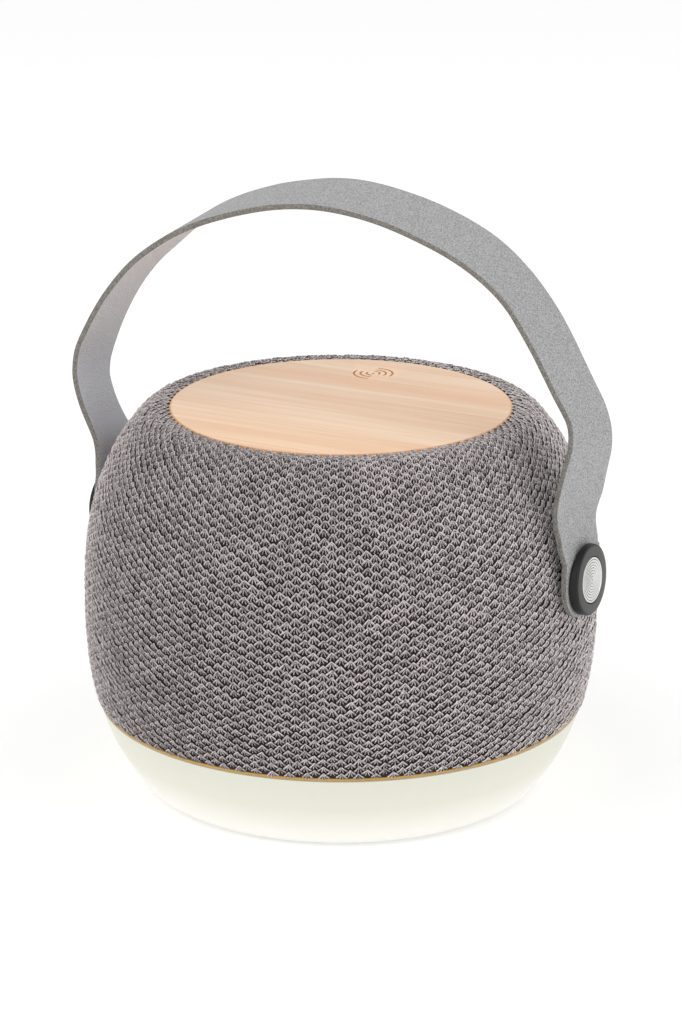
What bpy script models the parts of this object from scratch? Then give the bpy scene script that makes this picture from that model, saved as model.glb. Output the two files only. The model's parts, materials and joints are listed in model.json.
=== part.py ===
"""Portable round speaker with a fabric sleeve, bamboo charging top, lamp base and swinging strap."""
import math

import bmesh
import bpy
from mathutils import Vector

MM = 0.001

# ---------------------------------------------------------------- driving sizes
gap = 0.3 * MM                      # clearance kept between pieces that touch
thin_gap = 0.2 * MM                 # clearance in the small hub stack

body_radius = 65.0 * MM             # widest radius, over the fabric
body_power = 2.46                   # squareness of the outline
body_height = 98.2 * MM             # top of the fabric rim
body_waist_z = body_height * 48.4 / 98.2   # height of the widest ring
disc_radius = 43.0 * MM
shoulder_drop = 3.5 * MM            # the rim rolls over within this height
shoulder_reach = 3.0 * MM           # how far the roll's corner lies inside the shoulder
shoulder_width = 8.8115 * MM        # fabric between the disc's edge and the shoulder
# The outline's vertical half axis, which puts the shoulder that far outside the disc.
body_half_height = ((body_height - shoulder_drop - body_waist_z)
                    / (1 - ((disc_radius + shoulder_width) / body_radius) ** body_power)
                    ** (1 / body_power))
beyond = body_radius + 10 * MM      # where cutters end, outside the body
round_steps = 40                    # facets round the body
small_steps = 12                    # facets round screws and sockets
driver_steps = 20                   # facets round the driver
hub_steps = 24                      # facets round the hub rings
cutter_start = math.radians(4.0)    # keeps a cutter's corners off the corners it would meet

fabric_thickness = 1.0 * MM
fabric_bottom_z = 22.7 * MM
tuck_depth = 3.0 * MM

wall_thickness = 2.2 * MM
split_z = body_height - 10.2 * MM    # joint between barrel and top deck
barrel_flange_radius = body_radius - 15.0 * MM
barrel_flange_height = 2.0 * MM

disc_thickness = 3.5 * MM
disc_sink = 0.2 * MM                # disc top below the fabric rim
disc_chamfer = 0.4 * MM

coil_outer_radius = 21.0 * MM
coil_inner_radius = 7.5 * MM
coil_thickness = 1.0 * MM
ferrite_radius = 22.0 * MM
ferrite_thickness = 0.8 * MM
deck_floor = 2.0 * MM
spigot_depth = 3.6 * MM
charger_board_size = (32.0 * MM, 24.0 * MM, 1.6 * MM)

seam_ring_height = 0.6 * MM
seam_ring_width = 5.5 * MM
seam_ring_inset = 0.25 * MM
diffuser_inset = 0.5 * MM
diffuser_wall = 2.0 * MM
diffuser_floor_z = 0.8 * MM
diffuser_flange = 5.0 * MM
floor_plate_thickness = 1.9 * MM

base_plate_thickness = 2.0 * MM
foot_inner_radius = 30.0 * MM
foot_outer_radius = 37.0 * MM
foot_height = 1.7 * MM
foot_groove = 1.2 * MM
base_screw_circle = 24.0 * MM
base_screw_count = 3
base_post_radius = 3.6 * MM
screw_shank_radius = 1.1 * MM
screw_head_radius = 2.4 * MM
screw_head_height = 1.3 * MM
screw_length = 9.0 * MM

light_board_inner = 30.0 * MM
light_board_outer = 44.0 * MM
board_thickness = 1.6 * MM
led_count = 4
led_side = 5.0 * MM
led_height = 1.6 * MM

ledge_y = 15.0 * MM - body_radius   # front face of the driver ledge
ledge_thickness = 2.5 * MM
flange_radius = 25.0 * MM
driver_z = split_z - flange_radius - 7.0 * MM
flange_thickness = 1.5 * MM
basket_radius = flange_radius - 4.4 * MM
collar_wall = 2.7 * MM
basket_depth = 14.0 * MM
motor_radius = 15.0 * MM
magnet_depth = 7.0 * MM
coil_radius = 6.6 * MM
cone_radius = flange_radius - 8.4 * MM
cone_travel = 1.5 * MM
driver_screw_circle = flange_radius - 2.1 * MM
driver_screw_shank = 0.8 * MM
driver_screw_head = 1.5 * MM

battery_radius = 9.2 * MM
battery_length = 65.0 * MM
battery_y = 8.0 * MM
battery_z = 34.0 * MM
cradle_length = 56.0 * MM
cradle_wall = 2.2 * MM
cradle_height = 23.6 * MM
main_board_size = (52.0 * MM, 25.0 * MM, 1.6 * MM)

panel_width = 52.0 * MM
panel_height = 28.0 * MM
panel_corner = 6.0 * MM
panel_depth = 5.3 * MM              # front skin to panel back
panel_lip = 2.5 * MM                # flange behind the barrel wall
panel_lip_thickness = 1.4 * MM
button_width = 7.2 * MM
button_height = 6.6 * MM
button_corner = 2.2 * MM
button_pitch = 10.0 * MM
button_rise = 7.0 * MM              # button row above the panel's middle
button_proud = 0.6 * MM
button_travel = 0.8 * MM
button_lip = 0.9 * MM
button_stem_radius = 1.8 * MM
control_board_y = body_radius - 17.5 * MM   # back face of the control board
control_board_size = (46.0 * MM, 1.6 * MM, 25.0 * MM)
dome_mat_thickness = 0.8 * MM
dome_height = 1.0 * MM
dome_radius = 2.6 * MM

flap_width = 30.0 * MM
flap_height = 10.4 * MM
flap_corner = 2.6 * MM
flap_thickness = 1.5 * MM
flap_swing_gap = 0.5 * MM           # more room above the flap, for its curved back as it opens
flap_drop = 6.6 * MM                # flap middle below the panel's middle
port_spacing = 16.0 * MM
usb_size = (8.9 * MM, 3.2 * MM)
usb_slot = (8.0 * MM, 2.3 * MM)
usb_depth = 6.0 * MM
aux_radius = 3.2 * MM
aux_bore_radius = 1.8 * MM
aux_depth = 7.5 * MM

hub_z = body_waist_z + 14.5 * MM
strap_width = 19.4 * MM
strap_thickness = 1.5 * MM
strap_hub_x = body_radius + 2.0 * MM   # outer face of the strap beside the hub
strap_flat = 6.3 * MM               # flat patch round the eyelet
eyelet_bore = 4.1 * MM
eyelet_wall = 0.7 * MM
eyelet_flange = 6.0 * MM
eyelet_flange_thickness = 0.3 * MM
spacer_radius = 3.8 * MM
spacer_bore = 1.9 * MM
insert_radius = 3.0 * MM
insert_bore = 1.6 * MM
insert_length = 6.2 * MM
boss_radius = 6.5 * MM
boss_depth = 8.2 * MM
hub_ring_radius = 8.85 * MM
hub_ring_depth = 2.8 * MM
hub_ring_chamfer = 0.5 * MM
hub_cap_radius = 5.65 * MM
hub_cap_depth = 1.0 * MM
pivot_head_radius = 3.1 * MM
pivot_head_height = 0.6 * MM
pivot_shank_radius = 1.3 * MM

# The strap's outer face, right half, from the crown down to just above the hub: its middle (x, y and
# height above the pivot), then the direction across it for each unit of its width.
strap_path = [
    (0.0, -1.8, 89.7, 0.000, 0.990, 0.144),
    (7.0, -1.8, 89.3, -0.044, 0.989, 0.145),
    (13.9, -1.4, 88.1, -0.082, 0.988, 0.149),
    (20.7, -1.3, 86.5, -0.062, 0.990, 0.154),
    (27.4, -1.3, 84.4, -0.048, 0.993, 0.150),
    (33.9, -1.3, 81.9, -0.051, 0.995, 0.144),
    (40.2, -1.5, 78.8, -0.077, 1.001, 0.145),
    (46.0, -1.8, 74.9, -0.116, 1.011, 0.146),
    (51.3, -2.5, 70.4, -0.071, 1.035, 0.079),
    (56.1, -3.9, 65.5, 0.039, 1.008, -0.014),
    (60.3, -4.8, 60.0, 0.029, 1.003, -0.001),
    (63.5, -5.2, 54.9, 0.029, 1.000, -0.009),
    (66.4, -5.1, 49.7, 0.039, 1.006, -0.041),
    (68.7, -4.6, 45.3, 0.060, 1.018, -0.109),
    (70.2, -4.4, 41.6, 0.083, 0.998, -0.196),
    (70.9, -4.6, 38.2, 0.095, 0.979, -0.232),
    (70.9, -4.9, 34.7, 0.097, 0.981, -0.246),
    (70.2, -4.9, 31.3, 0.090, 1.002, -0.274),
    (69.3, -4.6, 28.0, 0.083, 1.037, -0.310),
    (68.2, -3.8, 24.3, 0.074, 1.079, -0.333),
    (66.9, -2.8, 20.6, 0.060, 1.091, -0.311),
    (66.0, -2.0, 17.4, 0.052, 1.077, -0.282),
    (65.8, -1.3, 14.0, 0.046, 1.068, -0.251),
    (66.2, -0.8, 11.0, 0.038, 1.040, -0.208),
    (66.5, -0.4, 8.1, 0.029, 1.018, -0.152),
]

# ---------------------------------------------------------------- scene set-up
for old in list(bpy.data.objects):
    bpy.data.objects.remove(old, do_unlink=True)

pieces = bpy.data.collections.new("portable_speaker")
cutters = bpy.data.collections.new("speaker_cutters")
bpy.context.scene.collection.children.link(pieces)
bpy.context.scene.collection.children.link(cutters)


def material(name, rgb, roughness=0.5, metallic=0.0):
    made = bpy.data.materials.new(name)
    made.use_nodes = True
    shader = made.node_tree.nodes["Principled BSDF"]
    shader.inputs["Base Color"].default_value = (rgb[0], rgb[1], rgb[2], 1.0)
    shader.inputs["Roughness"].default_value = roughness
    shader.inputs["Metallic"].default_value = metallic
    return made


fabric_grey = material("fabric_grey", (0.20, 0.17, 0.17), 0.95)
bamboo = material("bamboo", (0.83, 0.61, 0.41), 0.5)
lamp_white = material("lamp_white", (0.90, 0.88, 0.80), 0.4)
amber = material("amber", (0.65, 0.40, 0.10), 0.4)
black_plastic = material("black_plastic", (0.03, 0.03, 0.03), 0.5)
grey_plastic = material("grey_plastic", (0.23, 0.23, 0.22), 0.45)
white_plastic = material("white_plastic", (0.75, 0.75, 0.73), 0.5)
rubber = material("rubber", (0.05, 0.05, 0.05), 0.85)
strap_grey = material("strap_grey", (0.40, 0.40, 0.41), 0.6)
steel = material("steel", (0.55, 0.55, 0.56), 0.3, 1.0)
brass = material("brass", (0.75, 0.55, 0.25), 0.35, 1.0)
spun_silver = material("spun_silver", (0.80, 0.80, 0.80), 0.25, 1.0)
ferrite_dark = material("ferrite_dark", (0.08, 0.08, 0.09), 0.6)
copper = material("copper", (0.72, 0.35, 0.18), 0.35, 1.0)
board_green = material("board_green", (0.03, 0.20, 0.08), 0.5)
cell_blue = material("cell_blue", (0.05, 0.15, 0.45), 0.45)
paper_black = material("paper_black", (0.04, 0.04, 0.045), 0.8)


# ---------------------------------------------------------------- helpers
def place(obj, cutter=False):
    (cutters if cutter else pieces).objects.link(obj)
    if cutter:
        obj.hide_render = True
        obj.display_type = "WIRE"
    return obj


def empty(name, location, rotation=(0, 0, 0), parent=None):
    made = bpy.data.objects.new(name, None)
    made.empty_display_size = 0.01
    made.location = location
    made.rotation_euler = rotation
    made.parent = parent
    pieces.objects.link(made)
    return made


def revolve(name, profile, paint=None, steps=round_steps, closed=True, cutter=False, start=0.0):
    """Turn a profile of (radius, height) points round the object's own Z, from a start angle."""
    mesh = bpy.data.meshes.new(name)
    shape = bmesh.new()
    points = [shape.verts.new((r * math.cos(start), r * math.sin(start), z)) for r, z in profile]
    for first, second in zip(points, points[1:]):
        shape.edges.new((first, second))
    if closed:
        shape.edges.new((points[-1], points[0]))
    shape.to_mesh(mesh)
    shape.free()
    obj = place(bpy.data.objects.new(name, mesh), cutter)
    if paint:
        mesh.materials.append(paint)
    screw = obj.modifiers.new("turn", "SCREW")
    screw.steps = steps
    screw.render_steps = steps
    screw.use_merge_vertices = True
    screw.merge_threshold = 0.00001
    screw.use_smooth_shade = False
    return obj


def rod(name, radius, low, high, paint=None, steps=small_steps, cutter=False):
    return revolve(name, [(0, high), (radius, high), (radius, low), (0, low)],
                   paint, steps, False, cutter)


def tube(name, outer, inner, low, high, paint=None, steps=small_steps, cutter=False):
    return revolve(name, [(inner, high), (outer, high), (outer, low), (inner, low)],
                   paint, steps, True, cutter)


def slab(name, width, height, corner, low, high, paint=None, cutter=False, corner_steps=4):
    """A rounded rectangle in the object's XY, run from low to high along its own Z."""
    curve = bpy.data.curves.new(name, "CURVE")
    curve.dimensions = "2D"
    curve.fill_mode = "BOTH"
    curve.extrude = (high - low) / 2
    points = []
    for turn, (sx, sy) in enumerate(((1, 1), (-1, 1), (-1, -1), (1, -1))):
        for step in range(corner_steps + 1):
            angle = math.radians(90 * (turn + step / corner_steps))
            points.append((sx * (width / 2 - corner) + corner * math.cos(angle),
                           sy * (height / 2 - corner) + corner * math.sin(angle)))
    spline = curve.splines.new("POLY")
    spline.points.add(len(points) - 1)
    for target, (x, y) in zip(spline.points, points):
        target.co = (x, y, 0, 1)
    spline.use_cyclic_u = True
    return curve_to_mesh(name, curve, (high + low) / 2, paint, cutter)


def curve_to_mesh(name, curve, lift, paint, cutter):
    carrier = bpy.data.objects.new(name + "_curve", curve)
    bpy.context.scene.collection.objects.link(carrier)
    graph = bpy.context.evaluated_depsgraph_get()
    mesh = bpy.data.meshes.new_from_object(carrier.evaluated_get(graph))
    bpy.data.objects.remove(carrier, do_unlink=True)
    bpy.data.curves.remove(curve)
    mesh.name = name
    shape = bmesh.new()
    shape.from_mesh(mesh)
    bmesh.ops.remove_doubles(shape, verts=shape.verts, dist=0.000001)
    bmesh.ops.translate(shape, verts=shape.verts, vec=(0, 0, lift))
    bmesh.ops.recalc_face_normals(shape, faces=shape.faces)
    shape.to_mesh(mesh)
    shape.free()
    obj = place(bpy.data.objects.new(name, mesh), cutter)
    if paint:
        mesh.materials.append(paint)
    return obj


def box(name, size, centre, paint=None, cutter=False):
    mesh = bpy.data.meshes.new(name)
    shape = bmesh.new()
    bmesh.ops.create_cube(shape, size=1.0)
    bmesh.ops.scale(shape, vec=size, verts=shape.verts)
    shape.to_mesh(mesh)
    shape.free()
    obj = place(bpy.data.objects.new(name, mesh), cutter)
    obj.location = centre
    if paint:
        mesh.materials.append(paint)
    return obj


def boolean(target, tool, operation="DIFFERENCE"):
    """Flat triangles between Booleans keep the next one exact."""
    if any(modifier.type == "BOOLEAN" for modifier in target.modifiers):
        target.modifiers.new("facets", "TRIANGULATE")
    made = target.modifiers.new(operation.lower(), "BOOLEAN")
    made.operation = operation
    made.solver = "EXACT"
    made.object = tool


# ---------------------------------------------------------------- the outline
def side_radius(z):
    share = abs((z - body_waist_z) / body_half_height)
    return body_radius * (1 - share ** body_power) ** (1 / body_power)


shoulder_z = body_height - shoulder_drop
shoulder_radius = side_radius(shoulder_z)
roll_corner_radius = shoulder_radius - shoulder_reach
rim_radius = (roll_corner_radius + disc_radius + gap + fabric_thickness) / 2
slope_step = 0.05 * MM


def outline_point(height, share=None):
    """A point of the outline and its outward normal. Above the shoulder, share runs 0 to 1."""
    if share is None:
        slope = (side_radius(height + slope_step) - side_radius(height - slope_step)) / (2 * slope_step)
        length = math.hypot(1, slope)
        return side_radius(height), height, 1 / length, -slope / length
    rest = 1 - share
    radius = (rest * rest * shoulder_radius + 2 * share * rest * roll_corner_radius
              + share * share * rim_radius)
    height = body_height - rest * rest * shoulder_drop
    along_r = (2 * rest * (roll_corner_radius - shoulder_radius)
               + 2 * share * (rim_radius - roll_corner_radius))
    along_z = 2 * rest * shoulder_drop
    length = math.hypot(along_r, along_z)
    return radius, height, along_z / length, -along_r / length


side_heights = [0.0, 3.0, 9.0, 16.0, 25.0, 35.0, 46.0, 57.0, 67.0, 75.5, 83.0, 89.0, 94.6]
taller = body_height / (98.2 * MM)
stations = [outline_point(z * MM * taller) for z in side_heights]
stations += [outline_point(0, share) for share in (0.45, 1.0)]
fine = [outline_point(0.0005 * n) for n in range(int(shoulder_z / 0.0005))]
fine += [outline_point(0, n / 12) for n in range(13)]


def skin_radius(height, depth):
    """Radius, at this height, of the surface lying depth inside the outline."""
    line = [(r - depth * nr, z - depth * nz) for r, z, nr, nz in fine]
    for (r0, z0), (r1, z1) in zip(line, line[1:]):
        if z0 <= height <= z1:
            return r0 + (r1 - r0) * (height - z0) / (z1 - z0)
    return line[0][0] if height < line[0][1] else line[-1][0]


def skin(depth, low, high):
    """The offset outline between two heights, top to bottom."""
    clear = 1.2 * MM
    inner = [(r - depth * nr, z - depth * nz) for r, z, nr, nz in stations]
    inner = [(r, z) for r, z in inner if low + clear < z < high - clear]
    inner.sort(key=lambda point: -point[1])
    return [(skin_radius(high, depth), high)] + inner + [(skin_radius(low, depth), low)]


def shoulder_skin(depth, low):
    """The offset outline from the rim's edge over the shoulder and down to a height."""
    clear = 1.2 * MM
    line = [(r - depth * nr, z - depth * nz) for r, z, nr, nz in stations]
    line = [(r, z) for r, z in line if z > low + clear]
    line.reverse()
    return line + [(skin_radius(low, depth), low)]


# ---------------------------------------------------------------- openings shared by the shells
barrel_skin = fabric_thickness + gap
barrel_inner_skin = barrel_skin + wall_thickness
turn_to_front = (math.radians(90), 0, 0)      # own Z points to the front
turn_to_back = (math.radians(-90), 0, 0)      # own Z points to the back, own Y down
sides = (("right", 1), ("left", -1))


def panel_tool(name, grow):
    tool = slab(name, panel_width + 2 * grow, panel_height + 2 * grow, panel_corner + grow,
                body_radius - 20 * MM, beyond, cutter=True)
    tool.location = (0, 0, body_waist_z)
    tool.rotation_euler = turn_to_back
    return tool


panel_window = panel_tool("panel_window", gap)
side_turn = {1: (0, math.radians(90), 0), -1: (0, math.radians(-90), 0)}


def on_hub(obj, side, parent=None):
    obj.rotation_euler = side_turn[side]
    if parent:
        obj.parent = parent
    else:
        obj.location = (0, 0, hub_z)
    return obj


# ---------------------------------------------------------------- fabric sleeve
tuck_radius = disc_radius + gap
outer_line = [(tuck_radius, body_height - tuck_depth), (tuck_radius, body_height - 0.4 * MM),
              (tuck_radius + 0.4 * MM, body_height)] + shoulder_skin(0, fabric_bottom_z)
inner_line = shoulder_skin(fabric_thickness, fabric_bottom_z)
inner_line.reverse()
inner_line += [(tuck_radius + fabric_thickness, body_height - fabric_thickness),
               (tuck_radius + fabric_thickness, body_height - tuck_depth)]
fabric_cover = revolve("fabric_cover", outer_line + inner_line, fabric_grey)
boolean(fabric_cover, panel_window)
for label, side in sides:
    hole = rod("sleeve_hole_" + label, spacer_radius + 2 * gap, body_radius - 15 * MM, beyond, cutter=True)
    boolean(fabric_cover, on_hub(hole, side))

# ---------------------------------------------------------------- barrel
barrel_bottom_z = fabric_bottom_z
flange_top_z = barrel_bottom_z + barrel_flange_height
barrel_line = skin(barrel_skin, barrel_bottom_z, split_z)
barrel_inside = skin(barrel_inner_skin, flange_top_z, split_z)
barrel_inside.reverse()
barrel_line += [(barrel_flange_radius, barrel_bottom_z), (barrel_flange_radius, flange_top_z)]
barrel = revolve("barrel", barrel_line + barrel_inside, black_plastic)
boolean(barrel, panel_window)

collar_radius = flange_radius + gap + collar_wall
collar_core = revolve("collar_core", [(0, split_z - 1 * MM)]
                      + skin(barrel_skin + 0.1 * MM, barrel_bottom_z + 1 * MM, split_z - 1 * MM)
                      + [(0, barrel_bottom_z + 1 * MM)], closed=False, cutter=True)
collar = revolve("collar", [
    (0, body_radius + 5 * MM), (collar_radius, body_radius + 5 * MM),
    (collar_radius, -ledge_y - ledge_thickness), (0, -ledge_y - ledge_thickness)], steps=driver_steps, closed=False, cutter=True,
    start=cutter_start)
collar.location = (0, 0, driver_z)
collar.rotation_euler = turn_to_front
boolean(collar, collar_core, "INTERSECT")
boolean(barrel, collar, "UNION")
seat = revolve("driver_seat", [
    (0, body_radius + 15 * MM), (flange_radius + gap, body_radius + 15 * MM),
    (flange_radius + gap, -ledge_y), (basket_radius + gap, -ledge_y),
    (basket_radius + gap, body_radius - 25 * MM), (0, body_radius - 25 * MM)],
    steps=driver_steps, closed=False, cutter=True)
seat.location = (0, 0, driver_z)
seat.rotation_euler = turn_to_front
boolean(barrel, seat)

boss_end_x = side_radius(hub_z + boss_radius) - fabric_thickness - 0.40 * MM
insert_mouth_x = boss_end_x - 0.6 * MM
for label, side in sides:
    boss = rod("boss_" + label, boss_radius, boss_end_x - boss_depth, boss_end_x, cutter=True)
    boolean(barrel, on_hub(boss, side), "UNION")
for label, side in sides:
    bore = revolve("boss_bore_" + label, [
        (0, beyond), (spacer_radius + gap, beyond), (spacer_radius + gap, insert_mouth_x),
        (insert_radius + gap, insert_mouth_x), (insert_radius + gap, body_radius - 20 * MM),
        (0, body_radius - 20 * MM)],
        steps=small_steps, closed=False, cutter=True, start=cutter_start)
    boolean(barrel, on_hub(bore, side))
driver_screw_angles = [45, 135, 225, 315]
for number, angle in enumerate(driver_screw_angles, 1):
    pilot = rod("driver_pilot_%d" % number, driver_screw_shank + thin_gap, -ledge_y - 10 * MM,
                -ledge_y + 10 * MM, steps=10, cutter=True)
    pilot.location = (driver_screw_circle * math.cos(math.radians(angle)), 0,
                      driver_z + driver_screw_circle * math.sin(math.radians(angle)))
    pilot.rotation_euler = turn_to_front
    boolean(barrel, pilot)

# ---------------------------------------------------------------- top deck, coil and disc
disc_top_z = body_height - disc_sink
disc_bottom_z = disc_top_z - disc_thickness
deck_seat_z = disc_bottom_z - gap
pocket_radius = ferrite_radius + gap
coil_z = disc_bottom_z - gap - coil_thickness
ferrite_z = coil_z - gap - ferrite_thickness
pocket_z = ferrite_z - gap
deck_wall_radius = tuck_radius + fabric_thickness + gap
spigot_radius = skin_radius(split_z, barrel_inner_skin) - gap
deck_under_z = deck_seat_z - deck_floor
deck_line = [(0, pocket_z), (pocket_radius, pocket_z), (pocket_radius, deck_seat_z),
             (deck_wall_radius, deck_seat_z), (deck_wall_radius, body_height - barrel_skin)]
deck_line += shoulder_skin(barrel_skin, split_z + gap)
deck_line += [(spigot_radius, split_z + gap), (spigot_radius, split_z - spigot_depth),
              (spigot_radius - wall_thickness, split_z - spigot_depth),
              (spigot_radius - wall_thickness, deck_under_z),
              (pocket_radius + deck_floor, deck_under_z),
              (pocket_radius + deck_floor, pocket_z - deck_floor), (0, pocket_z - deck_floor)]
top_deck = revolve("top_deck", deck_line, black_plastic, closed=False)

rod_line = [(0, disc_top_z), (disc_radius - disc_chamfer, disc_top_z),
            (disc_radius, disc_top_z - disc_chamfer), (disc_radius, disc_bottom_z), (0, disc_bottom_z)]
top_disc = revolve("top_disc", rod_line, bamboo, closed=False)
charging_coil = tube("charging_coil", coil_outer_radius, coil_inner_radius, coil_z,
                     coil_z + coil_thickness, copper, steps=driver_steps)
ferrite_sheet = rod("ferrite_sheet", ferrite_radius, ferrite_z, ferrite_z + ferrite_thickness,
                    ferrite_dark, steps=driver_steps)
charger_board = box("charger_board", charger_board_size,
                    (0, 0, pocket_z - deck_floor - gap - charger_board_size[2] / 2), board_green)

# ---------------------------------------------------------------- seam ring, floor plate, diffuser
seam_top_z = fabric_bottom_z - gap
seam_bottom_z = seam_top_z - seam_ring_height
seam_outer = side_radius(seam_bottom_z) - seam_ring_inset
seam_ring = tube("seam_ring", seam_outer, seam_outer - seam_ring_width, seam_bottom_z, seam_top_z,
                 amber, steps=round_steps)
diffuser_top_z = seam_bottom_z - gap
diffuser_line = skin(diffuser_inset, diffuser_floor_z + 0.8 * MM, diffuser_top_z)
diffuser_base = skin_radius(diffuser_floor_z + 0.8 * MM, diffuser_inset)
diffuser_line += [(diffuser_base - 0.9 * MM, diffuser_floor_z),
                  (diffuser_base - diffuser_flange, diffuser_floor_z),
                  (diffuser_base - diffuser_flange, diffuser_floor_z + diffuser_wall)]
diffuser_inside = skin(diffuser_inset + diffuser_wall, diffuser_floor_z + diffuser_wall, diffuser_top_z)
diffuser_inside.reverse()
diffuser = revolve("diffuser", diffuser_line + diffuser_inside, lamp_white)

floor_top_z = diffuser_top_z
floor_bottom_z = floor_top_z - floor_plate_thickness
floor_radius = skin_radius(floor_bottom_z, diffuser_inset + diffuser_wall) - gap
floor_plate = rod("floor_plate", floor_radius, floor_bottom_z, floor_top_z, white_plastic,
                  steps=round_steps)
base_top_z = diffuser_floor_z + base_plate_thickness
base_angles = [90 + 360 * n / base_screw_count for n in range(base_screw_count)]
for number, angle in enumerate(base_angles, 1):
    spot = (base_screw_circle * math.cos(math.radians(angle)),
            base_screw_circle * math.sin(math.radians(angle)), 0)
    post = rod("floor_post_%d" % number, base_post_radius, base_top_z + gap,
               floor_bottom_z + 0.5 * MM, cutter=True)
    post.location = spot
    boolean(floor_plate, post, "UNION")
for number, angle in enumerate(base_angles, 1):
    spot = (base_screw_circle * math.cos(math.radians(angle)),
            base_screw_circle * math.sin(math.radians(angle)), 0)
    pilot = rod("floor_pilot_%d" % number, screw_shank_radius + thin_gap, 0, 14 * MM,
                steps=12, cutter=True)
    pilot.location = spot
    boolean(floor_plate, pilot)

# ---------------------------------------------------------------- lamp board
board_top_z = floor_bottom_z - gap
light_board = tube("light_board", light_board_outer, light_board_inner,
                   board_top_z - board_thickness, board_top_z, board_green, steps=driver_steps)
led_circle = (light_board_inner + light_board_outer) / 2
for number in range(led_count):
    angle = math.radians(45 + 360 * number / led_count)
    led = box("led_%d" % (number + 1), (led_side, led_side, led_height),
              (led_circle * math.cos(angle), led_circle * math.sin(angle),
               board_top_z - board_thickness - thin_gap - led_height / 2), lamp_white)
    led.rotation_euler = (0, 0, angle)

# ---------------------------------------------------------------- base plate, foot and screws
base_radius = diffuser_base - diffuser_flange - gap
groove_z = diffuser_floor_z + foot_groove
base_line = [(0, base_top_z), (base_radius, base_top_z), (base_radius, diffuser_floor_z),
             (foot_outer_radius + gap, diffuser_floor_z), (foot_outer_radius + gap, groove_z),
             (foot_inner_radius - gap, groove_z), (foot_inner_radius - gap, diffuser_floor_z),
             (0, diffuser_floor_z)]
base_plate = revolve("base_plate", base_line, white_plastic, closed=False)
foot_line = [(foot_inner_radius, foot_height), (foot_outer_radius, foot_height),
             (foot_outer_radius, 0.3 * MM), (foot_outer_radius - 0.3 * MM, 0),
             (foot_inner_radius + 0.3 * MM, 0), (foot_inner_radius, 0.3 * MM)]
foot_ring = revolve("foot_ring", foot_line, rubber)
head_top_z = diffuser_floor_z + screw_head_height
for number, angle in enumerate(base_angles, 1):
    spot = (base_screw_circle * math.cos(math.radians(angle)),
            base_screw_circle * math.sin(math.radians(angle)), 0)
    sink = revolve("base_sink_%d" % number, [
        (0, 5 * MM), (screw_shank_radius + thin_gap, 5 * MM),
        (screw_shank_radius + thin_gap, head_top_z + thin_gap),
        (screw_head_radius + thin_gap, head_top_z + thin_gap),
        (screw_head_radius + thin_gap, -1 * MM), (0, -1 * MM)], steps=12, closed=False, cutter=True)
    sink.location = spot
    boolean(base_plate, sink)
    screw = revolve("base_screw_%d" % number, [
        (0, head_top_z + screw_length), (screw_shank_radius, head_top_z + screw_length),
        (screw_shank_radius, head_top_z), (screw_head_radius, head_top_z),
        (screw_head_radius, diffuser_floor_z + 0.1 * MM), (0, diffuser_floor_z + 0.1 * MM)],
        steel, 12, False)
    screw.location = spot

# ---------------------------------------------------------------- driver, own Z to the front
driver_mount = empty("driver_mount", (0, ledge_y, driver_z), turn_to_front)
flange_low = gap
flange_high = flange_low + flange_thickness
basket_wall = 1.2 * MM
frame_line = [
    (basket_radius - basket_wall, flange_high), (flange_radius, flange_high),
    (flange_radius, flange_low), (basket_radius, flange_low), (basket_radius, -2 * MM),
    (motor_radius, -basket_depth + 2 * MM), (motor_radius, -basket_depth),
    (coil_radius + gap, -basket_depth), (coil_radius + gap, -basket_depth + basket_wall),
    (motor_radius - basket_wall, -basket_depth + basket_wall), (basket_radius - basket_wall, -2 * MM)]
driver_frame = revolve("driver_frame", frame_line, steel, driver_steps)
driver_frame.parent = driver_mount
for number in range(2):
    window = slab("basket_window_%d" % (number + 1), 60 * MM, 9 * MM, 1 * MM,
                  -basket_depth + 4 * MM, -3 * MM, cutter=True)
    window.parent = driver_mount
    window.rotation_euler = (0, 0, math.radians(90 * number))
    boolean(driver_frame, window)
for number, angle in enumerate(driver_screw_angles, 1):
    spot = (driver_screw_circle * math.cos(math.radians(angle)),
            driver_screw_circle * math.sin(math.radians(angle)), 0)
    hole = rod("flange_hole_%d" % number, driver_screw_shank + thin_gap, -1 * MM, 5 * MM,
               steps=10, cutter=True)
    hole.parent = driver_mount
    hole.location = spot
    boolean(driver_frame, hole)
    head_low = flange_high + thin_gap
    screw = revolve("driver_screw_%d" % number, [
        (0, head_low + 1.1 * MM), (driver_screw_head, head_low + 1.1 * MM),
        (driver_screw_head, head_low), (driver_screw_shank, head_low),
        (driver_screw_shank, -6 * MM), (0, -6 * MM)], steel, 10, False)
    screw.parent = driver_mount
    screw.location = spot

plate_thickness = 1.5 * MM
plate_top = -basket_depth - gap
top_plate = tube("driver_top_plate", motor_radius, coil_radius + gap, plate_top - plate_thickness,
                 plate_top, steel, driver_steps)
magnet_top = plate_top - plate_thickness - gap
magnet_low = magnet_top - magnet_depth + plate_thickness
magnet = tube("driver_magnet", motor_radius + 1 * MM, coil_radius + 1.5 * MM, magnet_low, magnet_top,
              ferrite_dark, driver_steps)
pole_radius = coil_radius - 1.4 * MM
yoke_top = magnet_low - gap
yoke = revolve("driver_yoke", [
    (0, plate_top), (pole_radius, plate_top), (pole_radius, yoke_top), (motor_radius, yoke_top),
    (motor_radius, yoke_top - 2 * MM), (0, yoke_top - 2 * MM)], steel, driver_steps, False)
for part in (top_plate, magnet, yoke):
    part.parent = driver_mount

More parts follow.
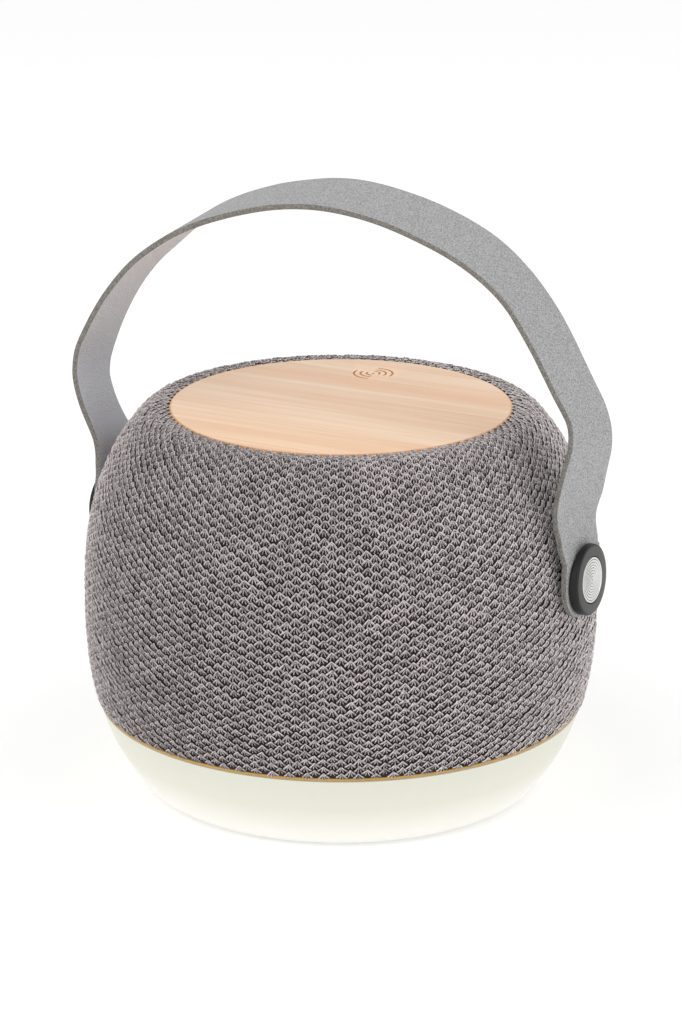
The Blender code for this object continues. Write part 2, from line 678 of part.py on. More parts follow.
cone_mount = empty("cone_mount", (0, 0, 0), parent=driver_mount)
cone_wall = 0.6 * MM
cone_small_z = -7.0 * MM
cone_line = [
    (cone_radius, 0.9 * MM), (cone_radius, 0.3 * MM), (coil_radius - 0.1 * MM, cone_small_z - cone_wall),
    (coil_radius - 0.6 * MM, cone_small_z - cone_wall), (coil_radius - 0.6 * MM, cone_small_z)]
cone = revolve("driver_cone", cone_line, paper_black, driver_steps)
voice_coil = tube("voice_coil", coil_radius, coil_radius - 0.7 * MM,
                  yoke_top + cone_travel + 0.6 * MM, cone_small_z - cone_wall - thin_gap, copper,
                  driver_steps)
cap_radius = coil_radius + 1.2 * MM
cap_line = [(0, -2.4 * MM), (cap_radius * 0.5, -2.9 * MM), (cap_radius * 0.85, -4.2 * MM),
            (cap_radius, -5.2 * MM), (cap_radius - 0.5 * MM, -5.4 * MM),
            (cap_radius * 0.8, -4.7 * MM), (cap_radius * 0.45, -3.5 * MM), (0, -3.0 * MM)]
dust_cap = revolve("dust_cap", cap_line, paper_black, driver_steps, False)
for part in (cone, voice_coil, dust_cap):
    part.parent = cone_mount

roll_in = cone_radius + gap
roll_out = basket_radius - basket_wall - thin_gap
roll_middle = (roll_in + roll_out) / 2
roll_line = [(roll_in, 0.6 * MM), (roll_in + 0.3 * MM, 1.4 * MM), (roll_middle, 1.9 * MM),
             (roll_out - 0.3 * MM, 1.4 * MM), (roll_out, 0.6 * MM), (roll_out - 0.6 * MM, 0.6 * MM),
             (roll_middle, 1.3 * MM), (roll_in + 0.6 * MM, 0.6 * MM)]
surround = revolve("driver_surround", roll_line, rubber, driver_steps)
surround.parent = driver_mount
spider = tube("driver_spider", motor_radius - basket_wall - gap, coil_radius + gap,
              -basket_depth + basket_wall + gap, -basket_depth + basket_wall + gap + 0.5 * MM,
              amber, driver_steps)
spider.parent = driver_mount

# ---------------------------------------------------------------- battery and main board
cradle_bottom_z = floor_top_z + gap
cradle_width = 2 * (battery_radius + gap + cradle_wall)
battery_cradle = box("battery_cradle", (cradle_length, cradle_width, cradle_height),
                     (0, battery_y, cradle_bottom_z + cradle_height / 2), grey_plastic)
trough = rod("cradle_trough", battery_radius + gap, -60 * MM, 60 * MM, steps=driver_steps, cutter=True)
trough.location = (0, battery_y, battery_z)
trough.rotation_euler = side_turn[1]
boolean(battery_cradle, trough)
slot = box("cradle_slot", (120 * MM, 2 * battery_radius - 2 * MM, 40 * MM),
           (0, battery_y, battery_z + 20 * MM), cutter=True)
boolean(battery_cradle, slot)
battery = revolve("battery_cell", [
    (0, battery_length / 2), (battery_radius - 0.6 * MM, battery_length / 2),
    (battery_radius, battery_length / 2 - 0.6 * MM), (battery_radius, -battery_length / 2 + 0.6 * MM),
    (battery_radius - 0.6 * MM, -battery_length / 2), (0, -battery_length / 2)],
    cell_blue, driver_steps, False)
battery.location = (0, battery_y, battery_z)
battery.rotation_euler = side_turn[1]
main_board = box("main_board", main_board_size,
                 (0, battery_y, cradle_bottom_z + cradle_height + gap + main_board_size[2] / 2),
                 board_green)

# ---------------------------------------------------------------- rear panel, buttons, ports
panel_low = body_waist_z - panel_height / 2 - 2 * panel_lip
panel_high = body_waist_z + panel_height / 2 + 2 * panel_lip


def shell_tool(name, near, far):
    """A ring of the outline between two depths, used to shape what follows the body's curve."""
    line = skin(near, panel_low, panel_high)
    inside = skin(far, panel_low, panel_high)
    inside.reverse()
    return revolve(name, line + inside, cutter=True)


panel_shell = shell_tool("panel_shell", 0.1 * MM, panel_depth)
control_panel = slab("control_panel", panel_width, panel_height, panel_corner, body_radius - 25 * MM, beyond,
                     grey_plastic)
control_panel.location = (0, 0, body_waist_z)
control_panel.rotation_euler = turn_to_back
boolean(control_panel, panel_shell, "INTERSECT")
lip = slab("panel_lip", panel_width + 2 * panel_lip, panel_height + 2 * panel_lip,
           panel_corner + panel_lip, body_radius - 25 * MM, beyond, cutter=True)
lip.location = (0, 0, body_waist_z)
lip.rotation_euler = turn_to_back
lip_shell = shell_tool("lip_shell", panel_depth - panel_lip_thickness, panel_depth + 0.1 * MM)
boolean(lip, lip_shell, "INTERSECT")
boolean(control_panel, lip, "UNION")

flap_z = body_waist_z - flap_drop
recess = slab("flap_recess", flap_width + 2 * gap, flap_height + 2 * gap + flap_swing_gap,
              flap_corner + gap, body_radius - 25 * MM, beyond, cutter=True)
recess.location = (0, 0, flap_z + flap_swing_gap / 2)
recess.rotation_euler = turn_to_back
recess_shell = shell_tool("recess_shell", -5 * MM, 0.2 * MM + flap_thickness + gap)
boolean(recess, recess_shell, "INTERSECT")
boolean(control_panel, recess)

button_z = body_waist_z + button_rise
button_shell = shell_tool("button_shell", -button_proud, panel_depth + gap + 0.5 * MM)
button_lip_shell = shell_tool("button_lip_shell", panel_depth + gap + 0.1 * MM,
                              panel_depth + gap + 0.1 * MM + 0.9 * MM)
mat_front_y = control_board_y + control_board_size[1] + thin_gap + dome_mat_thickness
stem_end_y = mat_front_y + dome_height + button_travel + gap
button_names = ["button_light", "button_minus", "button_play", "button_plus", "button_power"]
for number, name in enumerate(button_names):
    x = (number - 2) * button_pitch
    front_y = math.sqrt((body_radius + button_proud) ** 2 - x * x)
    cap = slab(name, button_width, button_height, button_corner, body_radius - 15 * MM - front_y, 5 * MM,
               black_plastic)
    cap.location = (x, front_y, button_z)
    cap.rotation_euler = turn_to_back
    boolean(cap, button_shell, "INTERSECT")
    ledge = slab(name + "_lip", button_width + 2 * button_lip, button_height + 2 * button_lip,
                 button_corner + button_lip, body_radius - 20 * MM - front_y, 5 * MM, cutter=True)
    ledge.location = (x, front_y, button_z)
    ledge.rotation_euler = turn_to_back
    boolean(ledge, button_lip_shell, "INTERSECT")
    boolean(cap, ledge, "UNION")
    stem_top_y = math.sqrt((body_radius - panel_depth - 1.0 * MM) ** 2 - (abs(x) + 2 * MM) ** 2)
    stem = rod(name + "_stem", button_stem_radius, stem_end_y - front_y, stem_top_y - front_y,
               steps=12, cutter=True)
    stem.location = (x, front_y, button_z)
    stem.rotation_euler = turn_to_back
    boolean(cap, stem, "UNION")
    hole = slab(name + "_hole", button_width + 2 * gap, button_height + 2 * gap, button_corner + gap,
                body_radius - 25 * MM, beyond, cutter=True)
    hole.location = (x, 0, button_z)
    hole.rotation_euler = turn_to_back
    boolean(control_panel, hole)

port_flap = slab("port_flap", flap_width, flap_height, flap_corner, -30 * MM, 5 * MM, rubber)
hinge_y = body_radius - 0.2 * MM
hinge_z = flap_z - flap_height / 2
port_hinge = empty("port_hinge", (0, hinge_y, hinge_z))
port_flap.parent = port_hinge
port_flap.location = (0, 0, flap_height / 2)
port_flap.rotation_euler = turn_to_back
flap_shell = shell_tool("flap_shell", 0.2 * MM, 0.2 * MM + flap_thickness)
boolean(port_flap, flap_shell, "INTERSECT")

port_floor_y = body_radius - flap_thickness - 0.2 * MM - gap
board_front_y = control_board_y + control_board_size[1]
usb_x = -port_spacing / 2
aux_x = port_spacing / 2
usb_front_y = math.sqrt((port_floor_y - 0.6 * MM) ** 2 - (abs(usb_x) + usb_size[0] / 2) ** 2)
usb_hole = slab("usb_hole", usb_size[0] + 2 * gap, usb_size[1] + 2 * gap, usb_size[1] / 2 + gap - 0.01 * MM,
                body_radius - 25 * MM, beyond, cutter=True)
usb_hole.location = (usb_x, 0, flap_z)
usb_hole.rotation_euler = turn_to_back
boolean(control_panel, usb_hole)
usb_socket = slab("usb_socket", usb_size[0], usb_size[1], usb_size[1] / 2 - 0.01 * MM,
                  board_front_y + thin_gap, usb_front_y, steel)
usb_socket.location = (usb_x, 0, flap_z)
usb_socket.rotation_euler = turn_to_back
usb_mouth = slab("usb_mouth", usb_slot[0], usb_slot[1], usb_slot[1] / 2 - 0.01 * MM,
                 usb_front_y - usb_depth, beyond, cutter=True)
usb_mouth.location = (usb_x, 0, flap_z)
usb_mouth.rotation_euler = turn_to_back
boolean(usb_socket, usb_mouth)

aux_front_y = math.sqrt((port_floor_y - 0.6 * MM) ** 2 - (abs(aux_x) + aux_radius) ** 2)
aux_hole = rod("aux_hole", aux_radius + gap, body_radius - 25 * MM, beyond, cutter=True)
aux_hole.location = (aux_x, 0, flap_z)
aux_hole.rotation_euler = turn_to_back
boolean(control_panel, aux_hole)
aux_socket = revolve("aux_socket", [
    (aux_bore_radius, aux_front_y), (aux_radius, aux_front_y), (aux_radius, board_front_y + thin_gap),
    (0, board_front_y + thin_gap), (0, aux_front_y - aux_depth), (aux_bore_radius, aux_front_y - aux_depth)],
    black_plastic, small_steps, True)
aux_socket.location = (aux_x, 0, flap_z)
aux_socket.rotation_euler = turn_to_back

control_board = box("control_board", control_board_size,
                    (0, control_board_y + control_board_size[1] / 2, body_waist_z), board_green)
dome_mat = slab("dome_mat", 4 * button_pitch + 2 * dome_radius + 2 * MM, 2 * dome_radius + 2 * MM, 1.5 * MM,
                board_front_y + thin_gap, mat_front_y, rubber)
dome_mat.location = (0, 0, button_z)
dome_mat.rotation_euler = turn_to_back
for number in range(5):
    dome = revolve("dome_%d" % (number + 1), [
        (0, mat_front_y + dome_height), (dome_radius * 0.55, mat_front_y + dome_height),
        (dome_radius, mat_front_y - 0.3 * MM), (0, mat_front_y - 0.3 * MM)],
        steps=12, closed=False, cutter=True)
    dome.location = ((number - 2) * button_pitch, 0, button_z)
    dome.rotation_euler = turn_to_back
    boolean(dome_mat, dome, "UNION")

# ---------------------------------------------------------------- swinging strap and its hubs
handle_pivot = empty("handle_pivot", (0, 0, hub_z))
path_hub_x = 67.0 * MM
half_width = strap_width / 2


def strap_stations():
    """(middle, direction across, half width) down the right half, from crown to rounded end."""
    rows = []
    for x, y, height, across_x, across_y, across_z in strap_path:
        middle = Vector((x * MM * strap_hub_x / path_hub_x, y * MM, height * MM))
        rows.append((middle, Vector((across_x, across_y, across_z)), half_width))
    straight = Vector((0, 1, 0))
    for height in (strap_flat, strap_flat / 2, 0):
        rows.append((Vector((strap_hub_x, 0, height)), straight, half_width))
    for angle in (20, 40, 57, 72, 84):
        turn = math.radians(angle)
        rows.append((Vector((strap_hub_x, 0, -half_width * math.sin(turn))), straight,
                     half_width * math.cos(turn)))
    return rows


mesh = bpy.data.meshes.new("handle_strap")
shape = bmesh.new()
previous = None
for middle, across, half in strap_stations():
    pair = (shape.verts.new(middle - across * half), shape.verts.new(middle + across * half))
    if previous:
        shape.faces.new((previous[0], pair[0], pair[1], previous[1]))
    previous = pair
shape.to_mesh(mesh)
shape.free()
mesh.materials.append(strap_grey)
handle_strap = place(bpy.data.objects.new("handle_strap", mesh))
handle_strap.parent = handle_pivot
mirror = handle_strap.modifiers.new("both_sides", "MIRROR")
mirror.use_axis = (True, False, False)
mirror.merge_threshold = 0.00001
thicken = handle_strap.modifiers.new("thickness", "SOLIDIFY")
thicken.thickness = strap_thickness
thicken.offset = -1
thicken.use_even_offset = True
strap_hole_radius = eyelet_bore + eyelet_wall + gap
for label, side in sides:
    hole = rod("strap_hole_" + label, strap_hole_radius, body_radius - 10 * MM, beyond, cutter=True)
    boolean(handle_strap, on_hub(hole, side, handle_pivot))

strap_inner_x = strap_hub_x - strap_thickness
eyelet_back_x = strap_inner_x - thin_gap - eyelet_flange_thickness
ring_back_x = strap_hub_x + thin_gap
ring_front_x = ring_back_x + hub_ring_depth
cap_front_x = ring_front_x + 0.1 * MM
cap_back_x = cap_front_x - hub_cap_depth
head_back_x = cap_back_x - gap - pivot_head_height
web_front_x = head_back_x - gap
spacer_end_x = ring_back_x - thin_gap
for label, side in sides:
    insert = tube("pivot_insert_" + label, insert_radius, insert_bore,
                  insert_mouth_x - insert_length, insert_mouth_x, brass)
    on_hub(insert, side)
    spacer = tube("pivot_spacer_" + label, spacer_radius, spacer_bore,
                  insert_mouth_x + gap, spacer_end_x, steel)
    on_hub(spacer, side)
    eyelet = revolve("strap_eyelet_" + label, [
        (eyelet_bore, strap_hub_x), (eyelet_bore + eyelet_wall, strap_hub_x),
        (eyelet_bore + eyelet_wall, strap_inner_x - thin_gap),
        (eyelet_flange, strap_inner_x - thin_gap), (eyelet_flange, eyelet_back_x),
        (eyelet_bore, eyelet_back_x)], steel, small_steps)
    on_hub(eyelet, side, handle_pivot)
    screw = revolve("pivot_screw_" + label, [
        (0, head_back_x + pivot_head_height), (pivot_head_radius, head_back_x + pivot_head_height),
        (pivot_head_radius, head_back_x), (pivot_shank_radius, head_back_x),
        (pivot_shank_radius, insert_mouth_x - insert_length + 0.5 * MM),
        (0, insert_mouth_x - insert_length + 0.5 * MM)], steel, small_steps, False)
    on_hub(screw, side)
    ring = revolve("hub_ring_" + label, [
        (hub_cap_radius + thin_gap, ring_front_x), (hub_ring_radius - hub_ring_chamfer, ring_front_x),
        (hub_ring_radius, ring_front_x - hub_ring_chamfer), (hub_ring_radius, ring_back_x),
        (pivot_shank_radius + gap, ring_back_x), (pivot_shank_radius + gap, web_front_x),
        (pivot_head_radius + gap, web_front_x), (pivot_head_radius + gap, cap_back_x - thin_gap),
        (hub_cap_radius + thin_gap, cap_back_x - thin_gap)], grey_plastic, hub_steps)
    on_hub(ring, side)
    cap = revolve("hub_cap_" + label, [
        (0, cap_front_x), (hub_cap_radius - 0.3 * MM, cap_front_x),
        (hub_cap_radius, cap_front_x - 0.3 * MM), (hub_cap_radius, cap_back_x), (0, cap_back_x)],
        spun_silver, hub_steps, False)
    on_hub(cap, side)
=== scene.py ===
import json
import math

import bmesh
import bpy
import numpy as np
from mathutils import Matrix, Vector


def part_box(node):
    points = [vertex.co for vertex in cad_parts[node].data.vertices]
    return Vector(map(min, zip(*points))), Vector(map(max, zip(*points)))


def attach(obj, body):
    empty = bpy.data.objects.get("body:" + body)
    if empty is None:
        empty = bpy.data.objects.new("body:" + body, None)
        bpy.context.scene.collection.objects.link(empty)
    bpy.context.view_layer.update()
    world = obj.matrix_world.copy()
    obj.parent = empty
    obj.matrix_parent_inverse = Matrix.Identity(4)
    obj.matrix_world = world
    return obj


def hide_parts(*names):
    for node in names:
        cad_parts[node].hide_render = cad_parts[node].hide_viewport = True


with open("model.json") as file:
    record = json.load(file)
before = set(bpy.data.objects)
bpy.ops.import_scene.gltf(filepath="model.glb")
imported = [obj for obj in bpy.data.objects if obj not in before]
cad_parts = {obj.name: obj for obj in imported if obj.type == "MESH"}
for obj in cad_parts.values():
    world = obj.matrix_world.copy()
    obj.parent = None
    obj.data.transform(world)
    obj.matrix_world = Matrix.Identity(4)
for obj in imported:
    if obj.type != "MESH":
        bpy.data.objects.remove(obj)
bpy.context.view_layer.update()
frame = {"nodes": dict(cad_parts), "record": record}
mm = 0.001
scene = bpy.context.scene
print("frame loaded")

# outline of the body, the same rule as the solids follow
body = {
    "radius": 65.0, "waist": 48.4, "halfHeight": 65.4, "power": 2.46, "top": 98.2,
    "shoulderDrop": 3.5, "shoulderReach": 3.0, "discRadius": 43.0, "clothThickness": 1.0,
    "hem": 22.7, "hubHeight": 62.9, "fitGap": 0.3, "shoulderSteps": 6,
}
# reach of the cutting tools from the axis
cutter = {"near": 50, "far": 75, "windowNear": 45, "strapNear": 55}


def sideRadius(z):
    share = abs((z - body["waist"]) / body["halfHeight"])
    return body["radius"] * (1 - share ** body["power"]) ** (1 / body["power"])


shoulderZ = body["top"] - body["shoulderDrop"]
shoulderR = sideRadius(shoulderZ)
rollR = shoulderR - body["shoulderReach"]
rimR = (rollR + body["discRadius"] + body["fitGap"] + body["clothThickness"]) / 2


def outlinePoint(z=None, share=None):
    # radius, height and outward normal; share runs over the rolled shoulder from 0 to 1
    if share is None:
        slope = (sideRadius(z + 0.05) - sideRadius(z - 0.05)) / 0.1
        length = math.hypot(1, slope)
        return sideRadius(z), z, 1 / length, -slope / length
    rest = 1 - share
    r = rest * rest * shoulderR + 2 * share * rest * rollR + share * share * rimR
    h = body["top"] - rest * rest * body["shoulderDrop"]
    dr = 2 * rest * (rollR - shoulderR) + 2 * share * (rimR - rollR)
    dz = 2 * rest * body["shoulderDrop"]
    length = math.hypot(dr, dz)
    return r, h, dz / length, -dr / length


def outlineRun(low, high=None, step=1.5):
    # outline points from a height upwards, over the shoulder when no upper height is given
    top = shoulderZ if high is None else high
    count = max(2, int(round((top - low) / step)))
    run = [outlinePoint(low + (top - low) * n / count) for n in range(count + 1)]
    if high is None:
        steps = body["shoulderSteps"]
        run += [outlinePoint(share=n / steps) for n in range(1, steps + 1)]
    return run


def inset(run, depth):
    # the outline moved inwards along its own normals
    return [(r - depth * nr, z - depth * nz) for r, z, nr, nz in run]


def newPiece(name, mesh, paint=None):
    obj = bpy.data.objects.new(name, mesh)
    scene.collection.objects.link(obj)
    if paint:
        mesh.materials.clear()
        mesh.materials.append(paint)
    return obj


def finished(shape, name, paint=None):
    # closes the work on a bmesh: faces outwards, then an object
    bmesh.ops.recalc_face_normals(shape, faces=shape.faces)
    mesh = bpy.data.meshes.new(name)
    shape.to_mesh(mesh)
    shape.free()
    return newPiece(name, mesh, paint)


def betweenLoops(shape, first, second):
    # walls between two outlines of the same count, with both ends closed
    shape.faces.new(first)
    shape.faces.new(second[::-1])
    for k in range(len(first)):
        m = (k + 1) % len(first)
        shape.faces.new((first[k], second[k], second[m], first[m]))


def repaint(obj, paint):
    obj.data.materials.clear()
    obj.data.materials.append(paint)


def smooth(mesh, angle=35):
    mesh.shade_smooth()
    mesh.set_sharp_from_angle(angle=math.radians(angle))


def turned(name, profile, steps=192, closed=True, paint=None, turn=None, angle=35):
    # a profile of (radius, height) in mm turned round Z, its outer side running top to bottom
    shape = bmesh.new()
    rings = []
    for r, z in profile:
        if r < 1e-6:
            rings.append([shape.verts.new((0, 0, z * mm))])
            continue
        rings.append([shape.verts.new((r * mm * math.cos(2 * math.pi * n / steps),
                                       r * mm * math.sin(2 * math.pi * n / steps), z * mm))
                      for n in range(steps)])
    pairs = list(zip(rings, rings[1:] + ([rings[0]] if closed else [])))
    for upper, lower in pairs:
        for n in range(steps):
            m = (n + 1) % steps
            corners = [upper[n % len(upper)], lower[n % len(lower)], lower[m % len(lower)],
                       upper[m % len(upper)]]
            corners = list(dict.fromkeys(corners))
            if len(corners) > 2:
                shape.faces.new(corners)
    if turn:
        bmesh.ops.transform(shape, matrix=turn, verts=shape.verts)
    obj = finished(shape, name, paint)
    smooth(obj.data, angle)
    return obj


def applied(obj):
    # the object with its modifiers made real
    graph = bpy.context.evaluated_depsgraph_get()
    mesh = bpy.data.meshes.new_from_object(obj.evaluated_get(graph))
    old = obj.data
    obj.modifiers.clear()
    obj.data = mesh
    mesh.name = obj.name
    bpy.data.meshes.remove(old)
    return obj


def roundedOutline(halfX, halfZ, corner, cornerSteps=10):
    # corner centres stand halfX and halfZ from the middle
    outline = []
    for turn, (sx, sz) in enumerate(((1, 1), (-1, 1), (-1, -1), (1, -1))):
        for step in range(cornerSteps + 1):
            angle = math.radians(90 * (turn + step / cornerSteps))
            outline.append((sx * halfX + corner * math.cos(angle),
                            sz * halfZ + corner * math.sin(angle)))
    return outline


def roundedPrism(name, width, height, corner, low, high, centre):
    # a rounded rectangle in X and Z, run along Y from low to high
    shape = bmesh.new()
    outline = roundedOutline(width / 2 - corner, height / 2 - corner, corner)
    loop = [shape.verts.new(((x + centre[0]) * mm, low * mm, (z + centre[1]) * mm))
            for x, z in outline]
    face = shape.faces.new(loop)
    grown = bmesh.ops.extrude_face_region(shape, geom=[face])
    moved = [v for v in grown["geom"] if isinstance(v, bmesh.types.BMVert)]
    bmesh.ops.translate(shape, verts=moved, vec=(0, (high - low) * mm, 0))
    return finished(shape, name)


def arcBand(radius, stroke, first, last, steps, side=1):
    # outline of an arc with a stroke width, angles in degrees
    angles = [math.radians(first + (last - first) * n / steps) for n in range(steps + 1)]
    outer, inner = ([(side * r * math.cos(a), r * math.sin(a)) for a in angles]
                    for r in (radius + stroke / 2, radius - stroke / 2))
    return outer + inner[::-1]


def cutWith(obj, tools, keepToolPaint=False):
    for tool in tools:
        made = obj.modifiers.new("cut", "BOOLEAN")
        made.operation = "DIFFERENCE"
        made.solver = "EXACT"
        if keepToolPaint:
            made.material_mode = "TRANSFER"
        made.object = tool
    applied(obj)
    for tool in tools:
        bpy.data.objects.remove(tool, do_unlink=True)
    return obj


def hubRod(name, radius, near, side):
    # a plain rod on the hub's axis, for cutting with
    far = cutter["far"]
    return turned(name, [(0, far), (radius, far), (radius, near), (0, near)], 48, False,
                  turn=alongX(side))


def alongX(side):
    # own Z to the hub's outward direction, at the hub's height
    return (Matrix.Translation((0, 0, body["hubHeight"] * mm))
            @ Matrix.Rotation(math.radians(90 * side), 4, "Y"))


def nodeGroup(name, inputs, outputs):
    tree = bpy.data.node_groups.new(name, "ShaderNodeTree")
    for label, kind, value in inputs:
        socket = tree.interface.new_socket(name=label, in_out="INPUT", socket_type=kind)
        socket.default_value = value
    for label, kind in outputs:
        tree.interface.new_socket(name=label, in_out="OUTPUT", socket_type=kind)
    return tree, tree.nodes.new("NodeGroupInput"), tree.nodes.new("NodeGroupOutput")


def addNode(tree, kind, values=None, **settings):
    node = tree.nodes.new(kind)
    for key, value in settings.items():
        setattr(node, key, value)
    for key, value in (values or {}).items():
        node.inputs[key].default_value = value
    return node


def mathNode(tree, operation, first, second=None):
    node = addNode(tree, "ShaderNodeMath", operation=operation)
    for slotNumber, value in enumerate((first, second)):
        if value is None:
            continue
        if isinstance(value, (int, float)):
            node.inputs[slotNumber].default_value = value
        else:
            tree.links.new(value, node.inputs[slotNumber])
    return node.outputs[0]


def mixColour(tree, factor, first, second):
    # colours are given as tuples of three or as sockets
    node = addNode(tree, "ShaderNodeMix", data_type="RGBA", blend_type="MIX")
    for number, value in ((0, factor), (6, first), (7, second)):
        socket = node.inputs[number]
        if isinstance(value, (int, float)):
            socket.default_value = value
        elif isinstance(value, tuple):
            socket.default_value = (*value, 1.0)
        else:
            tree.links.new(value, socket)
    return node.outputs[2]


def makeGrainGroup():
    # a two-scale grain: a mask for colour and a height for bump
    tree, given, result = nodeGroup("surfaceGrain", [
        ("Vector", "NodeSocketVector", (0, 0, 0)), ("Coarse", "NodeSocketFloat", 400.0),
        ("Fine", "NodeSocketFloat", 3000.0), ("Fine Share", "NodeSocketFloat", 0.4)],
        [("Mask", "NodeSocketFloat"), ("Height", "NodeSocketFloat")])
    coarse = addNode(tree, "ShaderNodeTexNoise", {"Detail": 3.0, "Roughness": 0.55})
    fine = addNode(tree, "ShaderNodeTexNoise", {"Detail": 2.0, "Roughness": 0.6})
    for node, label in ((coarse, "Coarse"), (fine, "Fine")):
        tree.links.new(given.outputs["Vector"], node.inputs["Vector"])
        tree.links.new(given.outputs[label], node.inputs["Scale"])
    share = mathNode(tree, "MULTIPLY", fine.outputs[0], given.outputs["Fine Share"])
    total = mathNode(tree, "ADD", coarse.outputs[0], share)
    tree.links.new(coarse.outputs[0], result.inputs["Mask"])
    tree.links.new(total, result.inputs["Height"])
    return tree


def makeLeatherGroup():
    # pebbled grain: rounded cells with fine creases between them
    tree, given, result = nodeGroup("leatherPebble", [
        ("Vector", "NodeSocketVector", (0, 0, 0)), ("Pebble Scale", "NodeSocketFloat", 1400.0),
        ("Crease Scale", "NodeSocketFloat", 300.0)],
        [("Pebble", "NodeSocketFloat"), ("Height", "NodeSocketFloat"),
         ("Crease", "NodeSocketFloat")])
    pebble = addNode(tree, "ShaderNodeTexVoronoi", feature="F1")
    warp = addNode(tree, "ShaderNodeTexNoise", {"Detail": 2.0})
    crease = addNode(tree, "ShaderNodeTexNoise",
                     {"Detail": 5.0, "Roughness": 0.65, "Distortion": 0.6})
    for node, label in ((pebble, "Pebble Scale"), (crease, "Crease Scale"),
                        (warp, "Pebble Scale")):
        tree.links.new(given.outputs["Vector"], node.inputs["Vector"])
        tree.links.new(given.outputs[label], node.inputs["Scale"])
    dome = mathNode(tree, "SUBTRACT", 1.0, pebble.outputs["Distance"])
    rough = mathNode(tree, "MULTIPLY", warp.outputs[0], 0.7)
    folds = mathNode(tree, "MULTIPLY", crease.outputs[0], 0.9)
    total = mathNode(tree, "ADD", mathNode(tree, "ADD", dome, rough), folds)
    tree.links.new(dome, result.inputs["Pebble"])
    tree.links.new(total, result.inputs["Height"])
    tree.links.new(crease.outputs[0], result.inputs["Crease"])
    return tree


grainGroup = makeGrainGroup()
leatherGroup = makeLeatherGroup()


def useGroup(tree, group, place, values):
    # a shared group, read at Object coordinates
    node = addNode(tree, "ShaderNodeGroup")
    node.node_tree = group
    for key, value in values.items():
        node.inputs[key].default_value = value
    tree.links.new(place, node.inputs["Vector"])
    return node


def noiseAt(tree, place, values):
    node = addNode(tree, "ShaderNodeTexNoise", values)
    tree.links.new(place, node.inputs["Vector"])
    return node.outputs[0]


def ranged(tree, source, low, high, toLow=0.0, toHigh=1.0):
    # the values from low to high, drawn out to toLow and toHigh and held there
    node = addNode(tree, "ShaderNodeMapRange",
                   {"From Min": low, "From Max": high, "To Min": toLow, "To Max": toHigh})
    tree.links.new(source, node.inputs["Value"])
    return node.outputs[0]


def distanceOf(tree, first, second):
    # how far from an axis, in mm, for two coordinates in metres
    square = mathNode(tree, "ADD", mathNode(tree, "MULTIPLY", first, first),
                      mathNode(tree, "MULTIPLY", second, second))
    return mathNode(tree, "MULTIPLY", mathNode(tree, "SQRT", square), 1000.0)


def weighted(tree, terms):
    # a sum of sockets, each times its share
    total = None
    for source, share in terms:
        part = mathNode(tree, "MULTIPLY", source, share)
        total = part if total is None else mathNode(tree, "ADD", total, part)
    return total


def newMaterial(name, **fixed):
    made = bpy.data.materials.new(name)
    made.use_nodes = True
    tree = made.node_tree
    shader = tree.nodes["Principled BSDF"]
    for label, value in fixed.items():
        label = label.replace("_", " ")
        shader.inputs[label].default_value = (*value, 1.0) if isinstance(value, tuple) else value
    place = addNode(tree, "ShaderNodeTexCoord")
    return made, tree, shader, place.outputs["Object"]


def addBump(tree, shader, height, distance, strength=1.0):
    bump = addNode(tree, "ShaderNodeBump", {"Distance": distance, "Strength": strength})
    tree.links.new(height, bump.inputs["Height"])
    tree.links.new(bump.outputs[0], shader.inputs["Normal"])


def grainy(name, dark, light, roughness=0.5, coarse=500.0, bump=0.00003, metallic=0.0):
    # a finish that drifts between two near colours, with a fine moulded or cast grain
    made, tree, shader, place = newMaterial(name, Metallic=metallic)
    grain = useGroup(tree, grainGroup, place, {"Coarse": coarse, "Fine": 3000.0})
    colour = mixColour(tree, grain.outputs["Mask"], dark, light)
    tree.links.new(colour, shader.inputs["Base Color"])
    spread = ranged(tree, grain.outputs["Mask"], 0.0, 1.0, roughness - 0.06, roughness + 0.08)
    tree.links.new(spread, shader.inputs["Roughness"])
    if bump:
        addBump(tree, shader, grain.outputs["Height"], bump)
    return made


